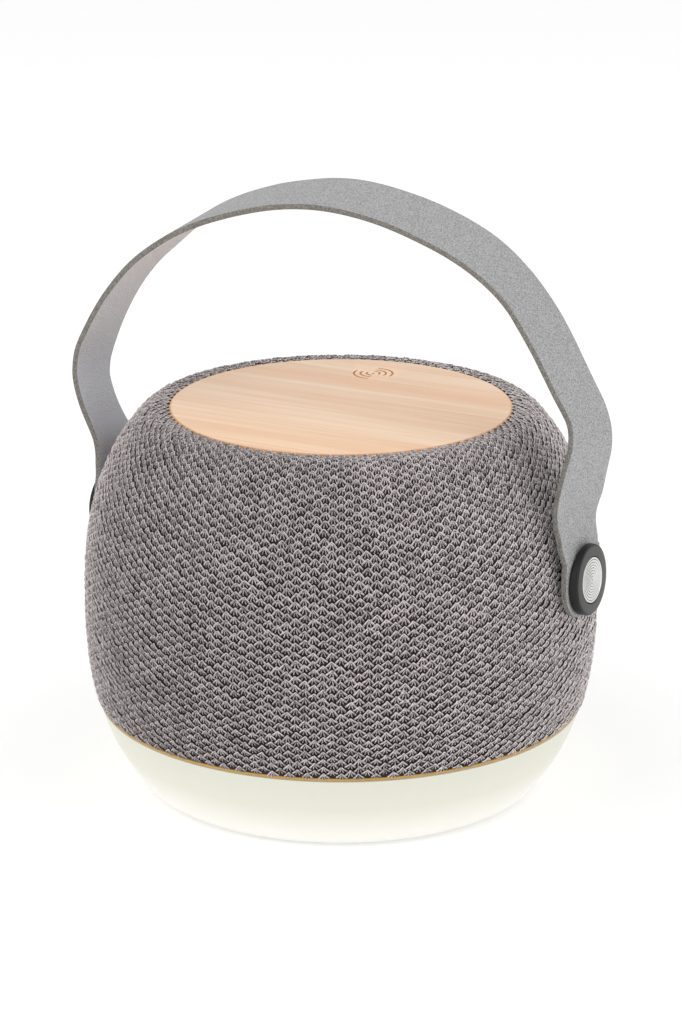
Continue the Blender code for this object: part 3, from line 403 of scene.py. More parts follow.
# plain finishes for the pieces inside and behind
metal = 0.000004                                    # bump of a machined face, in metres
panelPlastic = grainy("panelPlastic", (0.030, 0.030, 0.031), (0.050, 0.050, 0.051), 0.55, 700.0)
buttonPlastic = grainy("buttonPlastic", (0.040, 0.040, 0.041), (0.060, 0.060, 0.061), 0.45, 700.0)
plainFinishes = {
    # slot: name, dark, light, roughness, coarse grain, bump, metal
    "black_plastic": ("blackPlastic", (0.018, 0.018, 0.019), (0.035, 0.035, 0.036), 0.5),
    "grey_plastic": ("greyPlastic", (0.15, 0.15, 0.15), (0.22, 0.22, 0.22), 0.5),
    "white_plastic": ("whitePlastic", (0.70, 0.70, 0.68), (0.80, 0.80, 0.78), 0.45),
    "rubber": ("softRubber", (0.025, 0.025, 0.026), (0.050, 0.050, 0.050), 0.8, 300.0),
    "steel": ("platedSteel", (0.50, 0.50, 0.51), (0.66, 0.66, 0.67), 0.28, 900.0, metal, 1.0),
    "brass": ("turnedBrass", (0.62, 0.42, 0.16), (0.80, 0.58, 0.27), 0.32, 900.0, metal, 1.0),
    "copper": ("woundCopper", (0.50, 0.20, 0.08), (0.80, 0.38, 0.18), 0.35, 1500.0, 0.00005, 1.0),
    "ferrite_dark": ("ferriteDark", (0.03, 0.03, 0.035), (0.07, 0.07, 0.08), 0.6),
    "board_green": ("boardGreen", (0.01, 0.09, 0.03), (0.02, 0.16, 0.06), 0.35, 250.0),
    "cell_wrap": ("cellWrap", (0.02, 0.06, 0.25), (0.04, 0.10, 0.38), 0.3, 200.0, 0.0),
    "cone_paper": ("conePaper", (0.012, 0.012, 0.013), (0.035, 0.034, 0.035), 0.75, 900.0),
    "spider_cloth": ("spiderCloth", (0.30, 0.17, 0.06), (0.45, 0.28, 0.11), 0.7, 1200.0, 0.00006),
    "led_white": ("lampChip", (0.80, 0.76, 0.55), (0.90, 0.86, 0.66), 0.3, 900.0),
}
innerFinishes = {slotName: grainy(*row) for slotName, row in plainFinishes.items()}
slotOf = {row["node"]: row["material_slot"] for row in frame["record"]["subparts"]}
for nodeName, obj in frame["nodes"].items():
    finish = innerFinishes.get(slotOf[nodeName])
    if finish:
        repaint(obj, finish)
print("plain finishes set")

# the knitted sleeve; lengths are in mm
knit = {
    "columns": 186, "rowPitch": 1.02, "bands": 8, "seed": 7,
    "coreDepth": 0.92, "stitchDepth": 0.46, "rimRadius": 43.55,
    "strandRadius": 0.150, "halfWidth": 1.22, "height": 1.28, "loft": 0.52,
    # spread of each stitch: along the row as a share of a column, up and down, in and out, size
    "sideways": 0.045, "jitter": 0.07, "inOut": 0.05, "widthSpread": 0.05, "heightSpread": 0.06,
    "twist": (0.10, 0.10, 0.13),
    "windowClear": 1.0, "hubClear": 5.6, "hubHole": 4.4, "cutTuck": 2.5,
    "hemGrow": 0.75, "hemDepth": 0.30, "hemRadius": 0.55, "hemTone": 0.6, "hemStep": 0.8,
    "hemTwistEvery": 7, "hemLobes": 0.12,
    "light": (0.90, 0.82, 0.815), "dark": (0.060, 0.046, 0.046),
    "core": (0.010, 0.006, 0.006), "coreLight": (0.055, 0.038, 0.036),
    # how light the yarn is: its flecks, the stitch's own tone, a slow drift and the ply
    "fleckShare": 0.75, "toneShare": 0.22, "driftShare": 0.16, "plyShare": 0.75, "darken": 0.58,
}
# start, middle and end of each ply on the right side as shares of the stitch, its steps and tone
stitchPlies = [
    ((0.00, 0.70, 0.2), (0.60, 0.34, 1.15), (1.16, -0.36, -0.3), 3, 1.0),
    ((0.00, 0.44, 0.0), (0.58, 0.06, 0.80), (1.10, -0.60, -0.5), 2, 0.45),
    ((0.06, 0.30, 0.2), (0.26, -0.16, 0.80), (0.42, -0.76, -0.3), 2, 0.62),
]

coreMaterial, tree, shader, place = newMaterial("sleeveBacking", Roughness=0.95)
grain = useGroup(tree, grainGroup, place, {"Coarse": 900.0, "Fine": 5000.0, "Fine Share": 0.8})
tree.links.new(mixColour(tree, grain.outputs["Mask"], knit["core"], knit["coreLight"]),
               shader.inputs["Base Color"])
addBump(tree, shader, grain.outputs["Height"], 0.0002)

yarnMaterial, tree, shader, place = newMaterial("sleeveYarn", Roughness=0.85, Sheen_Weight=0.25,
                                                Sheen_Roughness=0.5)
tone = addNode(tree, "ShaderNodeAttribute", attribute_name="yarnTone")
ply = addNode(tree, "ShaderNodeAttribute", attribute_name="plyTone")
fibre = noiseAt(tree, place, {"Scale": 1900.0, "Detail": 2.0, "Roughness": 0.7})
drift = noiseAt(tree, place, {"Scale": 70.0, "Detail": 2.0})
fleck = ranged(tree, fibre, 0.36, 0.62)
blend = weighted(tree, [(fleck, knit["fleckShare"]), (tone.outputs["Fac"], knit["toneShare"]),
                        (drift, knit["driftShare"]), (ply.outputs["Fac"], knit["plyShare"])])
blend = mathNode(tree, "SUBTRACT", blend, knit["darken"])
tree.links.new(mixColour(tree, blend, knit["dark"], knit["light"]), shader.inputs["Base Color"])
addBump(tree, shader, fibre, 0.00012)


def makeStitchTree():
    # one stitch is three bowed plies on each side, set on every point
    tree = bpy.data.node_groups.new("knitStitch", "GeometryNodeTree")
    face, link = tree.interface, tree.links.new
    face.new_socket(name="Points", in_out="INPUT", socket_type="NodeSocketGeometry")
    for label in ("Half Width", "Height", "Loft", "Strand Radius"):
        face.new_socket(name=label, in_out="INPUT", socket_type="NodeSocketFloat")
    face.new_socket(name="Seed", in_out="INPUT", socket_type="NodeSocketInt")
    face.new_socket(name="Yarn", in_out="INPUT", socket_type="NodeSocketMaterial")
    face.new_socket(name="Stitches", in_out="OUTPUT", socket_type="NodeSocketGeometry")
    given, result = tree.nodes.new("NodeGroupInput"), tree.nodes.new("NodeGroupOutput")
    size = addNode(tree, "ShaderNodeCombineXYZ")
    for number, label in enumerate(("Half Width", "Height", "Loft")):
        link(given.outputs[label], size.inputs[number])
    ringCurve = addNode(tree, "GeometryNodeCurvePrimitiveCircle", {"Resolution": 3},
                        mode="RADIUS")
    link(given.outputs["Strand Radius"], ringCurve.inputs["Radius"])
    strands = addNode(tree, "GeometryNodeJoinGeometry")
    plies = [([(side * x, y, z) for x, y, z in spots], steps, shadeOf)
             for side in (-1, 1) for *spots, steps, shadeOf in stitchPlies]
    for (start, middle, end), steps, shadeOf in plies:
        bow = addNode(tree, "GeometryNodeCurveQuadraticBezier",
                      {"Resolution": steps, "Start": start, "Middle": middle, "End": end})
        sized = addNode(tree, "GeometryNodeTransform")
        link(bow.outputs[0], sized.inputs["Geometry"])
        link(size.outputs[0], sized.inputs["Scale"])
        strand = addNode(tree, "GeometryNodeCurveToMesh", {"Fill Caps": True})
        link(sized.outputs[0], strand.inputs["Curve"])
        link(ringCurve.outputs[0], strand.inputs["Profile Curve"])
        plyTone = addNode(tree, "GeometryNodeStoreNamedAttribute",
                          {"Name": "plyTone", "Value": shadeOf}, data_type="FLOAT", domain="POINT")
        link(strand.outputs[0], plyTone.inputs["Geometry"])
        link(plyTone.outputs[0], strands.inputs[0])
    axes = {}
    for label in ("stitchUp", "stitchAcross", "stitchScale"):
        axes[label] = addNode(tree, "GeometryNodeInputNamedAttribute", {"Name": label},
                              data_type="FLOAT_VECTOR")
    facing = addNode(tree, "FunctionNodeAxesToRotation", primary_axis="Z", secondary_axis="X")
    link(axes["stitchUp"].outputs["Attribute"], facing.inputs[0])
    link(axes["stitchAcross"].outputs["Attribute"], facing.inputs[1])
    wobble = addNode(tree, "FunctionNodeRandomValue", data_type="FLOAT_VECTOR")
    wobble.inputs[0].default_value = [-angle for angle in knit["twist"]]
    wobble.inputs[1].default_value = knit["twist"]
    link(given.outputs["Seed"], wobble.inputs["Seed"])
    turn = addNode(tree, "FunctionNodeEulerToRotation")
    link(wobble.outputs[0], turn.inputs[0])
    slightTurn = addNode(tree, "FunctionNodeRotateRotation", rotation_space="LOCAL")
    link(facing.outputs[0], slightTurn.inputs[0])
    link(turn.outputs[0], slightTurn.inputs[1])
    put = addNode(tree, "GeometryNodeInstanceOnPoints")
    link(given.outputs["Points"], put.inputs["Points"])
    link(strands.outputs[0], put.inputs["Instance"])
    link(slightTurn.outputs[0], put.inputs["Rotation"])
    link(axes["stitchScale"].outputs["Attribute"], put.inputs["Scale"])
    shade = addNode(tree, "FunctionNodeRandomValue", data_type="FLOAT")
    link(given.outputs["Seed"], shade.inputs["Seed"])
    keep = addNode(tree, "GeometryNodeStoreNamedAttribute", {"Name": "yarnTone"},
                   data_type="FLOAT", domain="INSTANCE")
    link(put.outputs[0], keep.inputs["Geometry"])
    link(shade.outputs[1], keep.inputs["Value"])
    real = addNode(tree, "GeometryNodeRealizeInstances")
    link(keep.outputs[0], real.inputs[0])
    finish = addNode(tree, "GeometryNodeSetMaterial")
    link(real.outputs[0], finish.inputs["Geometry"])
    link(given.outputs["Yarn"], finish.inputs["Material"])
    link(finish.outputs[0], result.inputs[0])
    return tree


panel = {"width": 52.0, "height": 28.0, "corner": 6.0}
panelHalfX, panelHalfZ = (panel[side] / 2 - panel["corner"] for side in ("width", "height"))


def inPanelWindow(x, y, z, grow):
    if y < 0:
        return False
    dx, dz = max(0, abs(x) - panelHalfX), max(0, abs(z - body["waist"]) - panelHalfZ)
    return math.hypot(dx, dz) < panel["corner"] + grow


def inHubHole(x, y, z, radius):
    return abs(x) > cutter["near"] and math.hypot(y, z - body["hubHeight"]) < radius


# the outline by length, from the hem up over the shoulder and in to the rim
run = outlineRun(body["hem"] + 0.25, step=0.5)
flatR = np.arange(rimR - 0.5, knit["rimRadius"], -0.5)
run += [(float(r), body["top"], 0.0, 1.0) for r in flatR]
lengths = [0.0]
for (r0, z0, *_), (r1, z1, *_) in zip(run, run[1:]):
    lengths.append(lengths[-1] + math.hypot(r1 - r0, z1 - z0))
run = np.array(run)
rowCount = int(lengths[-1] / knit["rowPitch"])
rng = np.random.default_rng(knit["seed"])
rows = []
for row in range(rowCount + 1):
    at = row * lengths[-1] / rowCount
    r, z, nr, nz = (float(np.interp(at, lengths, run[:, k])) for k in range(4))
    size = math.hypot(nr, nz)
    nr, nz = nr / size, nz / size
    tight = min(1.0, r / body["radius"])            # columns crowd together towards the disc
    for column in range(row % 2, knit["columns"], 2):
        angle = 2 * math.pi * (column + rng.normal(0, knit["sideways"])) / knit["columns"]
        drop = rng.normal(0, knit["jitter"])
        depth = knit["stitchDepth"] + rng.normal(0, knit["inOut"])
        c, s = math.cos(angle), math.sin(angle)
        rr, zz = r - depth * nr - drop * nz, z - depth * nz + drop * nr
        x, y = rr * c, rr * s
        if (inPanelWindow(x, y, zz, knit["windowClear"])
                or inHubHole(x, y, zz, knit["hubClear"])):
            continue
        wide = tight * rng.normal(1, knit["widthSpread"])
        tall = rng.normal(1, knit["heightSpread"])
        rows.append((at, x, y, zz, nr * c, nr * s, nz, -s, c, 0.0,
                     wide, tall, 0.5 + 0.5 * tight))
rows = np.array(rows)
stitchTree = makeStitchTree()
knitBands = []
edges = np.quantile(rows[:, 0], np.linspace(0, 1, knit["bands"] + 1))
edges[-1] += 1
for band in range(knit["bands"]):
    part = rows[(rows[:, 0] >= edges[band]) & (rows[:, 0] < edges[band + 1])]
    mesh = bpy.data.meshes.new("knitBand%d" % (band + 1))
    mesh.vertices.add(len(part))
    mesh.vertices.foreach_set("co", (part[:, 1:4] * mm).ravel())
    for label, first in (("stitchUp", 4), ("stitchAcross", 7), ("stitchScale", 10)):
        column = mesh.attributes.new(label, "FLOAT_VECTOR", "POINT")
        column.data.foreach_set("vector", part[:, first:first + 3].ravel())
    obj = newPiece(mesh.name, mesh)
    modifier = obj.modifiers.new("stitches", "NODES")
    modifier.node_group = stitchTree
    values = {"Half Width": knit["halfWidth"] * mm, "Height": knit["height"] * mm,
              "Loft": knit["loft"] * mm, "Strand Radius": knit["strandRadius"] * mm,
              "Seed": knit["seed"] + band, "Yarn": yarnMaterial}
    for item in stitchTree.interface.items_tree:
        if item.in_out == "INPUT" and item.name in values:
            modifier[item.identifier] = values[item.name]
    applied(obj)
    obj.data.shade_smooth()
    repaint(obj, yarnMaterial)
    for label in ("stitchUp", "stitchAcross", "stitchScale"):
        if label in obj.data.attributes:
            obj.data.attributes.remove(obj.data.attributes[label])
    knitBands.append(obj)
    print("knit band", band + 1, "stitches", len(part), "faces", len(obj.data.polygons))

# the backing under the stitches, with its window and hub holes
core = outlineRun(body["hem"], step=3.0)
tuck = body["discRadius"] + body["fitGap"]
outer = [(tuck, body["top"] - 3.0), (tuck, body["top"] - 1.2),
         (tuck + 0.35, body["top"] - knit["coreDepth"])]
outer += list(reversed(inset(core, knit["coreDepth"])))
hemR = outer[-1][0]
outer += [(hemR + 0.45, body["hem"] + 0.5), (hemR + 0.35, body["hem"] + 0.05)]
outer[-3] = (hemR, body["hem"] + 1.0)
inner = inset(core, 1.0)
inner += [(tuck + 1.0, body["top"] - 1.0), (tuck + 1.0, body["top"] - 3.0)]
sleeve = turned("sleeveBacking", outer + inner, steps=240, paint=coreMaterial, angle=60)
gap = body["fitGap"]
window = roundedPrism("windowTool", panel["width"] + 2 * gap, panel["height"] + 2 * gap,
                      panel["corner"] + gap, cutter["windowNear"], cutter["far"],
                      (0, body["waist"]))
hubTools = [hubRod("hubTool", knit["hubHole"], cutter["near"], side) for side in (1, -1)]
cutWith(sleeve, [window] + hubTools)
smooth(sleeve.data, 60)


def windowHem():
    # the sleeve's turned edge round the panel window, a fat yarn laid on the outline
    hemPoints = roundedOutline(panelHalfX, panelHalfZ, knit["hemGrow"] + panel["corner"])
    dense = []
    for (x0, z0), (x1, z1) in zip(hemPoints, hemPoints[1:] + hemPoints[:1]):
        pieces = max(1, int(math.hypot(x1 - x0, z1 - z0) / knit["hemStep"]))
        dense += [(x0 + (x1 - x0) * n / pieces, z0 + (z1 - z0) * n / pieces)
                  for n in range(pieces)]
    middle = []
    for x, z in dense:
        r = sideRadius(z + body["waist"]) - knit["hemDepth"]
        middle.append(Vector((x, math.sqrt(r * r - x * x), z + body["waist"])))
    shape = bmesh.new()
    rings, around = [], 8
    for k, spot in enumerate(middle):
        tangent = (middle[(k + 1) % len(middle)] - middle[k - 1]).normalized()
        out = Vector((spot.x, spot.y, 0)).normalized()
        side = tangent.cross(out).normalized()
        twist = 2 * math.pi * k / knit["hemTwistEvery"]
        ring = []
        for n in range(around):
            a = 2 * math.pi * n / around
            reach = knit["hemRadius"] * (1 + knit["hemLobes"] * math.cos(3 * (a + twist)))
            spoke = reach * (math.cos(a) * out + math.sin(a) * side)
            ring.append(shape.verts.new((spot + spoke) * mm))
        rings.append(ring)
    for k, ring in enumerate(rings):
        following = rings[(k + 1) % len(rings)]
        for n in range(around):
            m = (n + 1) % around
            shape.faces.new((ring[n], ring[m], following[m], following[n]))
    hem = finished(shape, "windowHem", yarnMaterial)
    plyTone = hem.data.attributes.new("plyTone", "FLOAT", "POINT")
    plyTone.data.foreach_set("value", [knit["hemTone"]] * len(hem.data.vertices))
    hem.data.shade_smooth()
    return hem


knitBands.append(windowHem())
for piece in [sleeve] + knitBands:
    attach(piece, "body")
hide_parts("fabric_cover")
# a knitted tube, as wide as the body is round and as long as the outline from hem to disc
print("sleeve knitted")

# the bamboo disc with its charging mark
disc = {
    "radius": 43.0, "top": 98.0, "thickness": 3.5, "edge": 0.5, "strip": 0.0072,
    "pale": (0.97, 0.73, 0.52), "deep": (0.86, 0.53, 0.32), "fibre": (0.72, 0.42, 0.235),
    "rimTone": (0.66, 0.33, 0.12), "rimFrom": 0.75, "rimTo": 0.3,
    "broadShare": 0.85, "stripShare": 0.20, "streakShare": 0.75,
    "burnt": (0.62, 0.27, 0.085), "burntDark": (0.50, 0.19, 0.05),
    # a dot with open waves on both sides of it, each a radius and half its spread in degrees
    "markAt": (-6.2, 29.3), "markTurn": 48.0, "markDot": 0.42, "markStroke": 0.5,
    "markWaves": [(1.7, 60.0), (3.3, 58.0), (5.0, 54.0)], "markDepth": 0.12,
}
discMaterial, tree, shader, place = newMaterial("bambooGrain", Roughness=0.42, Coat_Weight=0.15,
                                                Coat_Roughness=0.3)
parts = addNode(tree, "ShaderNodeSeparateXYZ")
tree.links.new(place, parts.inputs[0])
strip = mathNode(tree, "FLOOR", mathNode(tree, "DIVIDE", parts.outputs[1], disc["strip"]))
stripTone = addNode(tree, "ShaderNodeTexWhiteNoise", noise_dimensions="1D")
tree.links.new(strip, stripTone.inputs["W"])


def stretched(stretch, detail, roughness=0.5, shift=None):
    # noise drawn out along the grain
    mapping = addNode(tree, "ShaderNodeMapping", {"Scale": stretch})
    tree.links.new(place, mapping.inputs["Vector"])
    noise = addNode(tree, "ShaderNodeTexNoise",
                    {"Scale": 1.0, "Detail": detail, "Roughness": roughness},
                    noise_dimensions="4D" if shift else "3D")
    tree.links.new(mapping.outputs[0], noise.inputs["Vector"])
    if shift:
        tree.links.new(shift, noise.inputs["W"])
    return noise.outputs[0]


broad = stretched((9.0, 170.0, 9.0), 3.0, 0.6, stripTone.outputs["Value"])
streak = stretched((26.0, 1300.0, 26.0), 4.0, 0.65, strip)
fineFibre = stretched((60.0, 5200.0, 60.0), 2.0, 0.5)
mix = weighted(tree, [(broad, disc["broadShare"]),
                      (stripTone.outputs["Value"], disc["stripShare"]),
                      (streak, disc["streakShare"])])
colour = mixColour(tree, ranged(tree, mix, 0.68, 1.10), disc["pale"], disc["deep"])
dash = ranged(tree, fineFibre, 0.62, 0.80, 0.0, 0.28)
colour = mixColour(tree, dash, colour, disc["fibre"])
fromAxis = distanceOf(tree, parts.outputs[0], parts.outputs[1])
rim = ranged(tree, fromAxis, disc["radius"] - disc["rimFrom"], disc["radius"] - disc["rimTo"])
colour = mixColour(tree, rim, colour, disc["rimTone"])
tree.links.new(colour, shader.inputs["Base Color"])
addBump(tree, shader, fineFibre, 0.00003)

burntMaterial, tree, shader, place = newMaterial("burntMark", Roughness=0.8)
grain = useGroup(tree, grainGroup, place, {"Coarse": 900.0, "Fine": 4000.0})
tree.links.new(mixColour(tree, grain.outputs["Mask"], disc["burntDark"], disc["burnt"]),
               shader.inputs["Base Color"])

discTop, discLow = disc["top"], disc["top"] - disc["thickness"]
profile = [(0, discTop), (disc["radius"] - disc["edge"], discTop),
           (disc["radius"] - 0.2, discTop - 0.12), (disc["radius"], discTop - disc["edge"]),
           (disc["radius"], discLow), (0, discLow)]
topDisc = turned("bambooDisc", profile, closed=False, paint=discMaterial, angle=40)
topDisc.data.materials.append(burntMaterial)


def markTool(name, outline):
    # a flat figure pressed into the disc
    shape = bmesh.new()
    x0, y0 = disc["markAt"]
    turn = math.radians(disc["markTurn"])
    loops = []
    for z in ((discTop - disc["markDepth"]) * mm, (discTop + 1) * mm):
        loops.append([shape.verts.new(((x * math.cos(turn) - y * math.sin(turn) + x0) * mm,
                                       (x * math.sin(turn) + y * math.cos(turn) + y0) * mm, z))
                      for x, y in outline])
    betweenLoops(shape, *loops)
    return finished(shape, name, burntMaterial)


markTools = [markTool("markDot", [(disc["markDot"] * math.cos(a), disc["markDot"] * math.sin(a))
                                  for a in np.linspace(0, 2 * math.pi, 20, endpoint=False)])]
for radius, spread in disc["markWaves"]:
    for side in (1, -1):
        wave = arcBand(radius, disc["markStroke"], -spread, spread, 14, side)
        markTools.append(markTool("markWave", wave))
cutWith(topDisc, markTools, keepToolPaint=True)
smooth(topDisc.data, 40)
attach(topDisc, "body")
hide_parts("top_disc")
print("disc turned and marked")

# the lamp base and the seam above it
lamp = {
    "inset": 0.45, "wall": 2.0, "floor": 0.8, "flange": 5.0, "top": 21.5,
    # painted shade and light: the diffuser is darker towards the top, under the sleeve, and near
    # white towards the bottom
    "upper": (0.66, 0.665, 0.57), "middle": (0.71, 0.70, 0.61), "lower": (0.91, 0.90, 0.86),
    "middleAt": 0.55, "cloud": (0.70, 0.68, 0.60), "cloudShare": 0.06, "glow": 0.10,
}
lampMaterial, tree, shader, place = newMaterial("milkyLamp", Roughness=0.38)
parts = addNode(tree, "ShaderNodeSeparateXYZ")
tree.links.new(place, parts.inputs[0])
# the painted shade follows height, and the same painted colour also sets the faint glow
height = ranged(tree, parts.outputs[2], 0.001, 0.022)
ramp = addNode(tree, "ShaderNodeValToRGB")
ramp.color_ramp.elements[0].color = (*lamp["lower"], 1)
ramp.color_ramp.elements[1].color = (*lamp["upper"], 1)
ramp.color_ramp.elements.new(lamp["middleAt"]).color = (*lamp["middle"], 1)
tree.links.new(height, ramp.inputs[0])
cloud = noiseAt(tree, place, {"Scale": 60.0, "Detail": 2.0})
veil = mathNode(tree, "MULTIPLY", cloud, lamp["cloudShare"])
colour = mixColour(tree, veil, ramp.outputs[0], lamp["cloud"])
tree.links.new(colour, shader.inputs["Base Color"])
tree.links.new(colour, shader.inputs["Emission Color"])
shader.inputs["Emission Strength"].default_value = lamp["glow"]

lampRun = outlineRun(lamp["floor"] + 1.2, lamp["top"] - 0.25, step=1.2)
outer = list(reversed(inset(lampRun, lamp["inset"])))
outer.insert(0, (outer[0][0] - 0.25, lamp["top"]))
lowR = outer[-1][0]
outer += [(lowR - 0.55, lamp["floor"] + 0.45), (lowR - 1.3, lamp["floor"] + 0.06),
          (lowR - 1.9, lamp["floor"]), (lowR - lamp["flange"], lamp["floor"]),
          (lowR - lamp["flange"], lamp["floor"] + lamp["wall"])]
innerRun = outlineRun(lamp["floor"] + lamp["wall"] + 0.3, lamp["top"], step=3.0)
lampShade = turned("lampShade", outer + inset(innerRun, lamp["inset"] + lamp["wall"]),
                   paint=lampMaterial, angle=50)
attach(lampShade, "body")
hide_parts("diffuser")

seamMaterial = grainy("amberSeam", (0.42, 0.22, 0.04), (0.62, 0.38, 0.10), 0.35, 500.0, bump=0.0)
low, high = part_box("seam_ring")
seam = {"outer": high.x / mm - 0.08, "low": low.z / mm, "high": high.z / mm, "width": 5.5,
        "round": 0.1, "chamfer": 0.12}
seamOuter, seamInner = seam["outer"], seam["outer"] - seam["width"]
seamEdge = seamOuter - seam["round"]
seamLine = turned("seamRing", [(seamInner, seam["high"]), (seamEdge, seam["high"]),
                               (seamOuter, seam["high"] - seam["chamfer"]),
                               (seamOuter, seam["low"] + seam["chamfer"]),
                               (seamEdge, seam["low"]), (seamInner, seam["low"])],
                  paint=seamMaterial, angle=50)
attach(seamLine, "body")
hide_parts("seam_ring")
print("lamp base turned")

# the carrying strap
strap = {
    "width": 19.4, "thickness": 1.5, "hubX": 67.0, "edgeRound": 0.22, "hole": 5.1,
    "straight": 6.3, "stepsBetween": 5,
    # the darker face colour and the crease colour are painted shade in the grain's valleys and
    # creases
    "face": (0.54, 0.54, 0.55), "faceValleyShade": (0.30, 0.30, 0.305), "creaseShade": (0.24, 0.24, 0.245),
    "creaseShadeShare": 0.16, "lining": (0.60, 0.60, 0.625),
    "edgeLight": (0.33, 0.31, 0.28), "edgeDark": (0.10, 0.092, 0.082),
    # middle of the outer face (x, y, height above the hub) and the direction across it,
    # from the crown down to the hub
    "stations": [
        (0.0, -1.8, 89.7, 0.000, 0.990, 0.144), (7.0, -1.8, 89.3, -0.044, 0.989, 0.145),
        (13.9, -1.4, 88.1, -0.082, 0.988, 0.149), (20.7, -1.3, 86.5, -0.062, 0.990, 0.154),
        (27.4, -1.3, 84.4, -0.048, 0.993, 0.150), (33.9, -1.3, 81.9, -0.051, 0.995, 0.144),
        (40.2, -1.5, 78.8, -0.077, 1.001, 0.145), (46.0, -1.8, 74.9, -0.116, 1.011, 0.146),
        (51.3, -2.5, 70.4, -0.071, 1.035, 0.079), (56.1, -3.9, 65.5, 0.039, 1.008, -0.014),
        (60.3, -4.8, 60.0, 0.029, 1.003, -0.001), (63.5, -5.2, 54.9, 0.029, 1.000, -0.009),
        (66.4, -5.1, 49.7, 0.039, 1.006, -0.041), (68.7, -4.6, 45.3, 0.060, 1.018, -0.109),
        (70.2, -4.4, 41.6, 0.083, 0.998, -0.196), (70.9, -4.6, 38.2, 0.095, 0.979, -0.232),
        (70.9, -4.9, 34.7, 0.097, 0.981, -0.246), (70.2, -4.9, 31.3, 0.090, 1.002, -0.274),
        (69.3, -4.6, 28.0, 0.083, 1.037, -0.310), (68.2, -3.8, 24.3, 0.074, 1.079, -0.333),
        (66.9, -2.8, 20.6, 0.060, 1.091, -0.311), (66.0, -2.0, 17.4, 0.052, 1.077, -0.282),
        (65.8, -1.3, 14.0, 0.046, 1.068, -0.251), (66.2, -0.8, 11.0, 0.038, 1.040, -0.208),
        (66.5, -0.4, 8.1, 0.029, 1.018, -0.152)],
}


def strapStations():
    # middle, direction across and half width, from one rounded end over the crown to the other
    half = strap["width"] / 2
    right = [((x, y, z), (ax, ay, az), half) for x, y, z, ax, ay, az in strap["stations"]]
    for z in (strap["straight"], strap["straight"] / 2, 0):
        right.append(((strap["hubX"], 0, z), (0, 1, 0), half))
    for angle in range(6, 90, 6):
        a = math.radians(angle)
        right.append(((strap["hubX"], 0, -half * math.sin(a)), (0, 1, 0), half * math.cos(a)))
    left = [((-x, y, z), (-ax, ay, az), wide) for (x, y, z), (ax, ay, az), wide in right[1:]]
    rows = np.array([(*middle, *across, wide) for middle, across, wide in left[::-1] + right])
    rows[:, 3:6] *= rows[:, 6:]                     # from the middle to the edge
    fine = []
    for k in range(len(rows) - 1):
        p0, p1 = rows[max(0, k - 1)], rows[k]
        p2, p3 = rows[k + 1], rows[min(len(rows) - 1, k + 2)]
        steps = strap["stepsBetween"] if min(p1[2], p2[2]) > 0 else 1
        for step in range(steps):
            t = step / steps
            fine.append(0.5 * (2 * p1 + (p2 - p0) * t + (2 * p0 - 5 * p1 + 4 * p2 - p3) * t * t
                               + (3 * p1 - p0 - 3 * p2 + p3) * t ** 3))
    fine.append(rows[-1])
    return np.array(fine)


def makeStrap(paint):
    line = strapStations()
    shape = bmesh.new()
    uv = shape.loops.layers.uv.new("UVMap")
    thick, edgeRound = strap["thickness"], strap["edgeRound"]
    section = []                                # share of half width, drawn in, depth
    for angle in (90, 60, 30, 0):
        a = math.radians(angle)
        section.append((1, edgeRound * (1 - math.cos(a)), edgeRound * (1 - math.sin(a))))
    for angle in (0, 30, 60, 90):
        a = math.radians(angle)
        section.append((1, edgeRound * (1 - math.cos(a)), thick - edgeRound * (1 - math.sin(a))))
    section += [(share, 0, thick) for share in (0.75, 0.5, 0.25, 0, -0.25, -0.5, -0.75)]
    section += [(-share, drawn, depth) for share, drawn, depth in reversed(section[:8])]
    section += [(share, 0, 0) for share in (-0.75, -0.5, -0.25, 0, 0.25, 0.5, 0.75)]
    rings, lengths = [], [0.0]
    for k, row in enumerate(line):
        before, after = line[max(0, k - 1)], line[min(len(line) - 1, k + 1)]
        middle, reach = Vector(row[:3]), Vector(row[3:6])
        if k:
            lengths.append(lengths[-1] + (middle - Vector(line[k - 1][:3])).length)
        tangent = Vector(after[:3] - before[:3]).normalized()
        outward = tangent.cross(reach).normalized()
        edgeDirection = reach.normalized()
        ring = []
        for share, drawn, depth in section:
            spot = middle + reach * share - edgeDirection * drawn * (1 if share > 0 else -1)
            spot -= outward * depth
            ring.append(shape.verts.new(spot * mm + Vector((0, 0, body["hubHeight"] * mm))))
        rings.append(ring)
    count = len(section)
    for k in range(len(rings) - 1):
        for n in range(count):
            m = (n + 1) % count
            face = shape.faces.new((rings[k][n], rings[k][m], rings[k + 1][m], rings[k + 1][n]))
            corners = ((k, n), (k, n + 1), (k + 1, n + 1), (k + 1, n))
            for loop, (row, col) in zip(face.loops, corners):
                loop[uv].uv = (lengths[row] / 100, col / count)
    shape.faces.new(rings[0])
    shape.faces.new(rings[-1])
    stations = len(rings)
    made = finished(shape, "carryStrap", paint)
    # what the finish reads: how deep a point lies, and whether it is on a cut edge
    depthMark = made.data.attributes.new("strapDepth", "FLOAT", "POINT")
    edgeMark = made.data.attributes.new("strapEdge", "FLOAT", "POINT")
    skin = 0.08
    depthMark.data.foreach_set("value", [depth / thick for _, _, depth in section] * stations)
    edgeMark.data.foreach_set("value", [
        1.0 if abs(share) == 1 and skin < depth < thick - skin else 0.0
        for share, _, depth in section] * stations)
    smooth(made.data, 50)
    return made


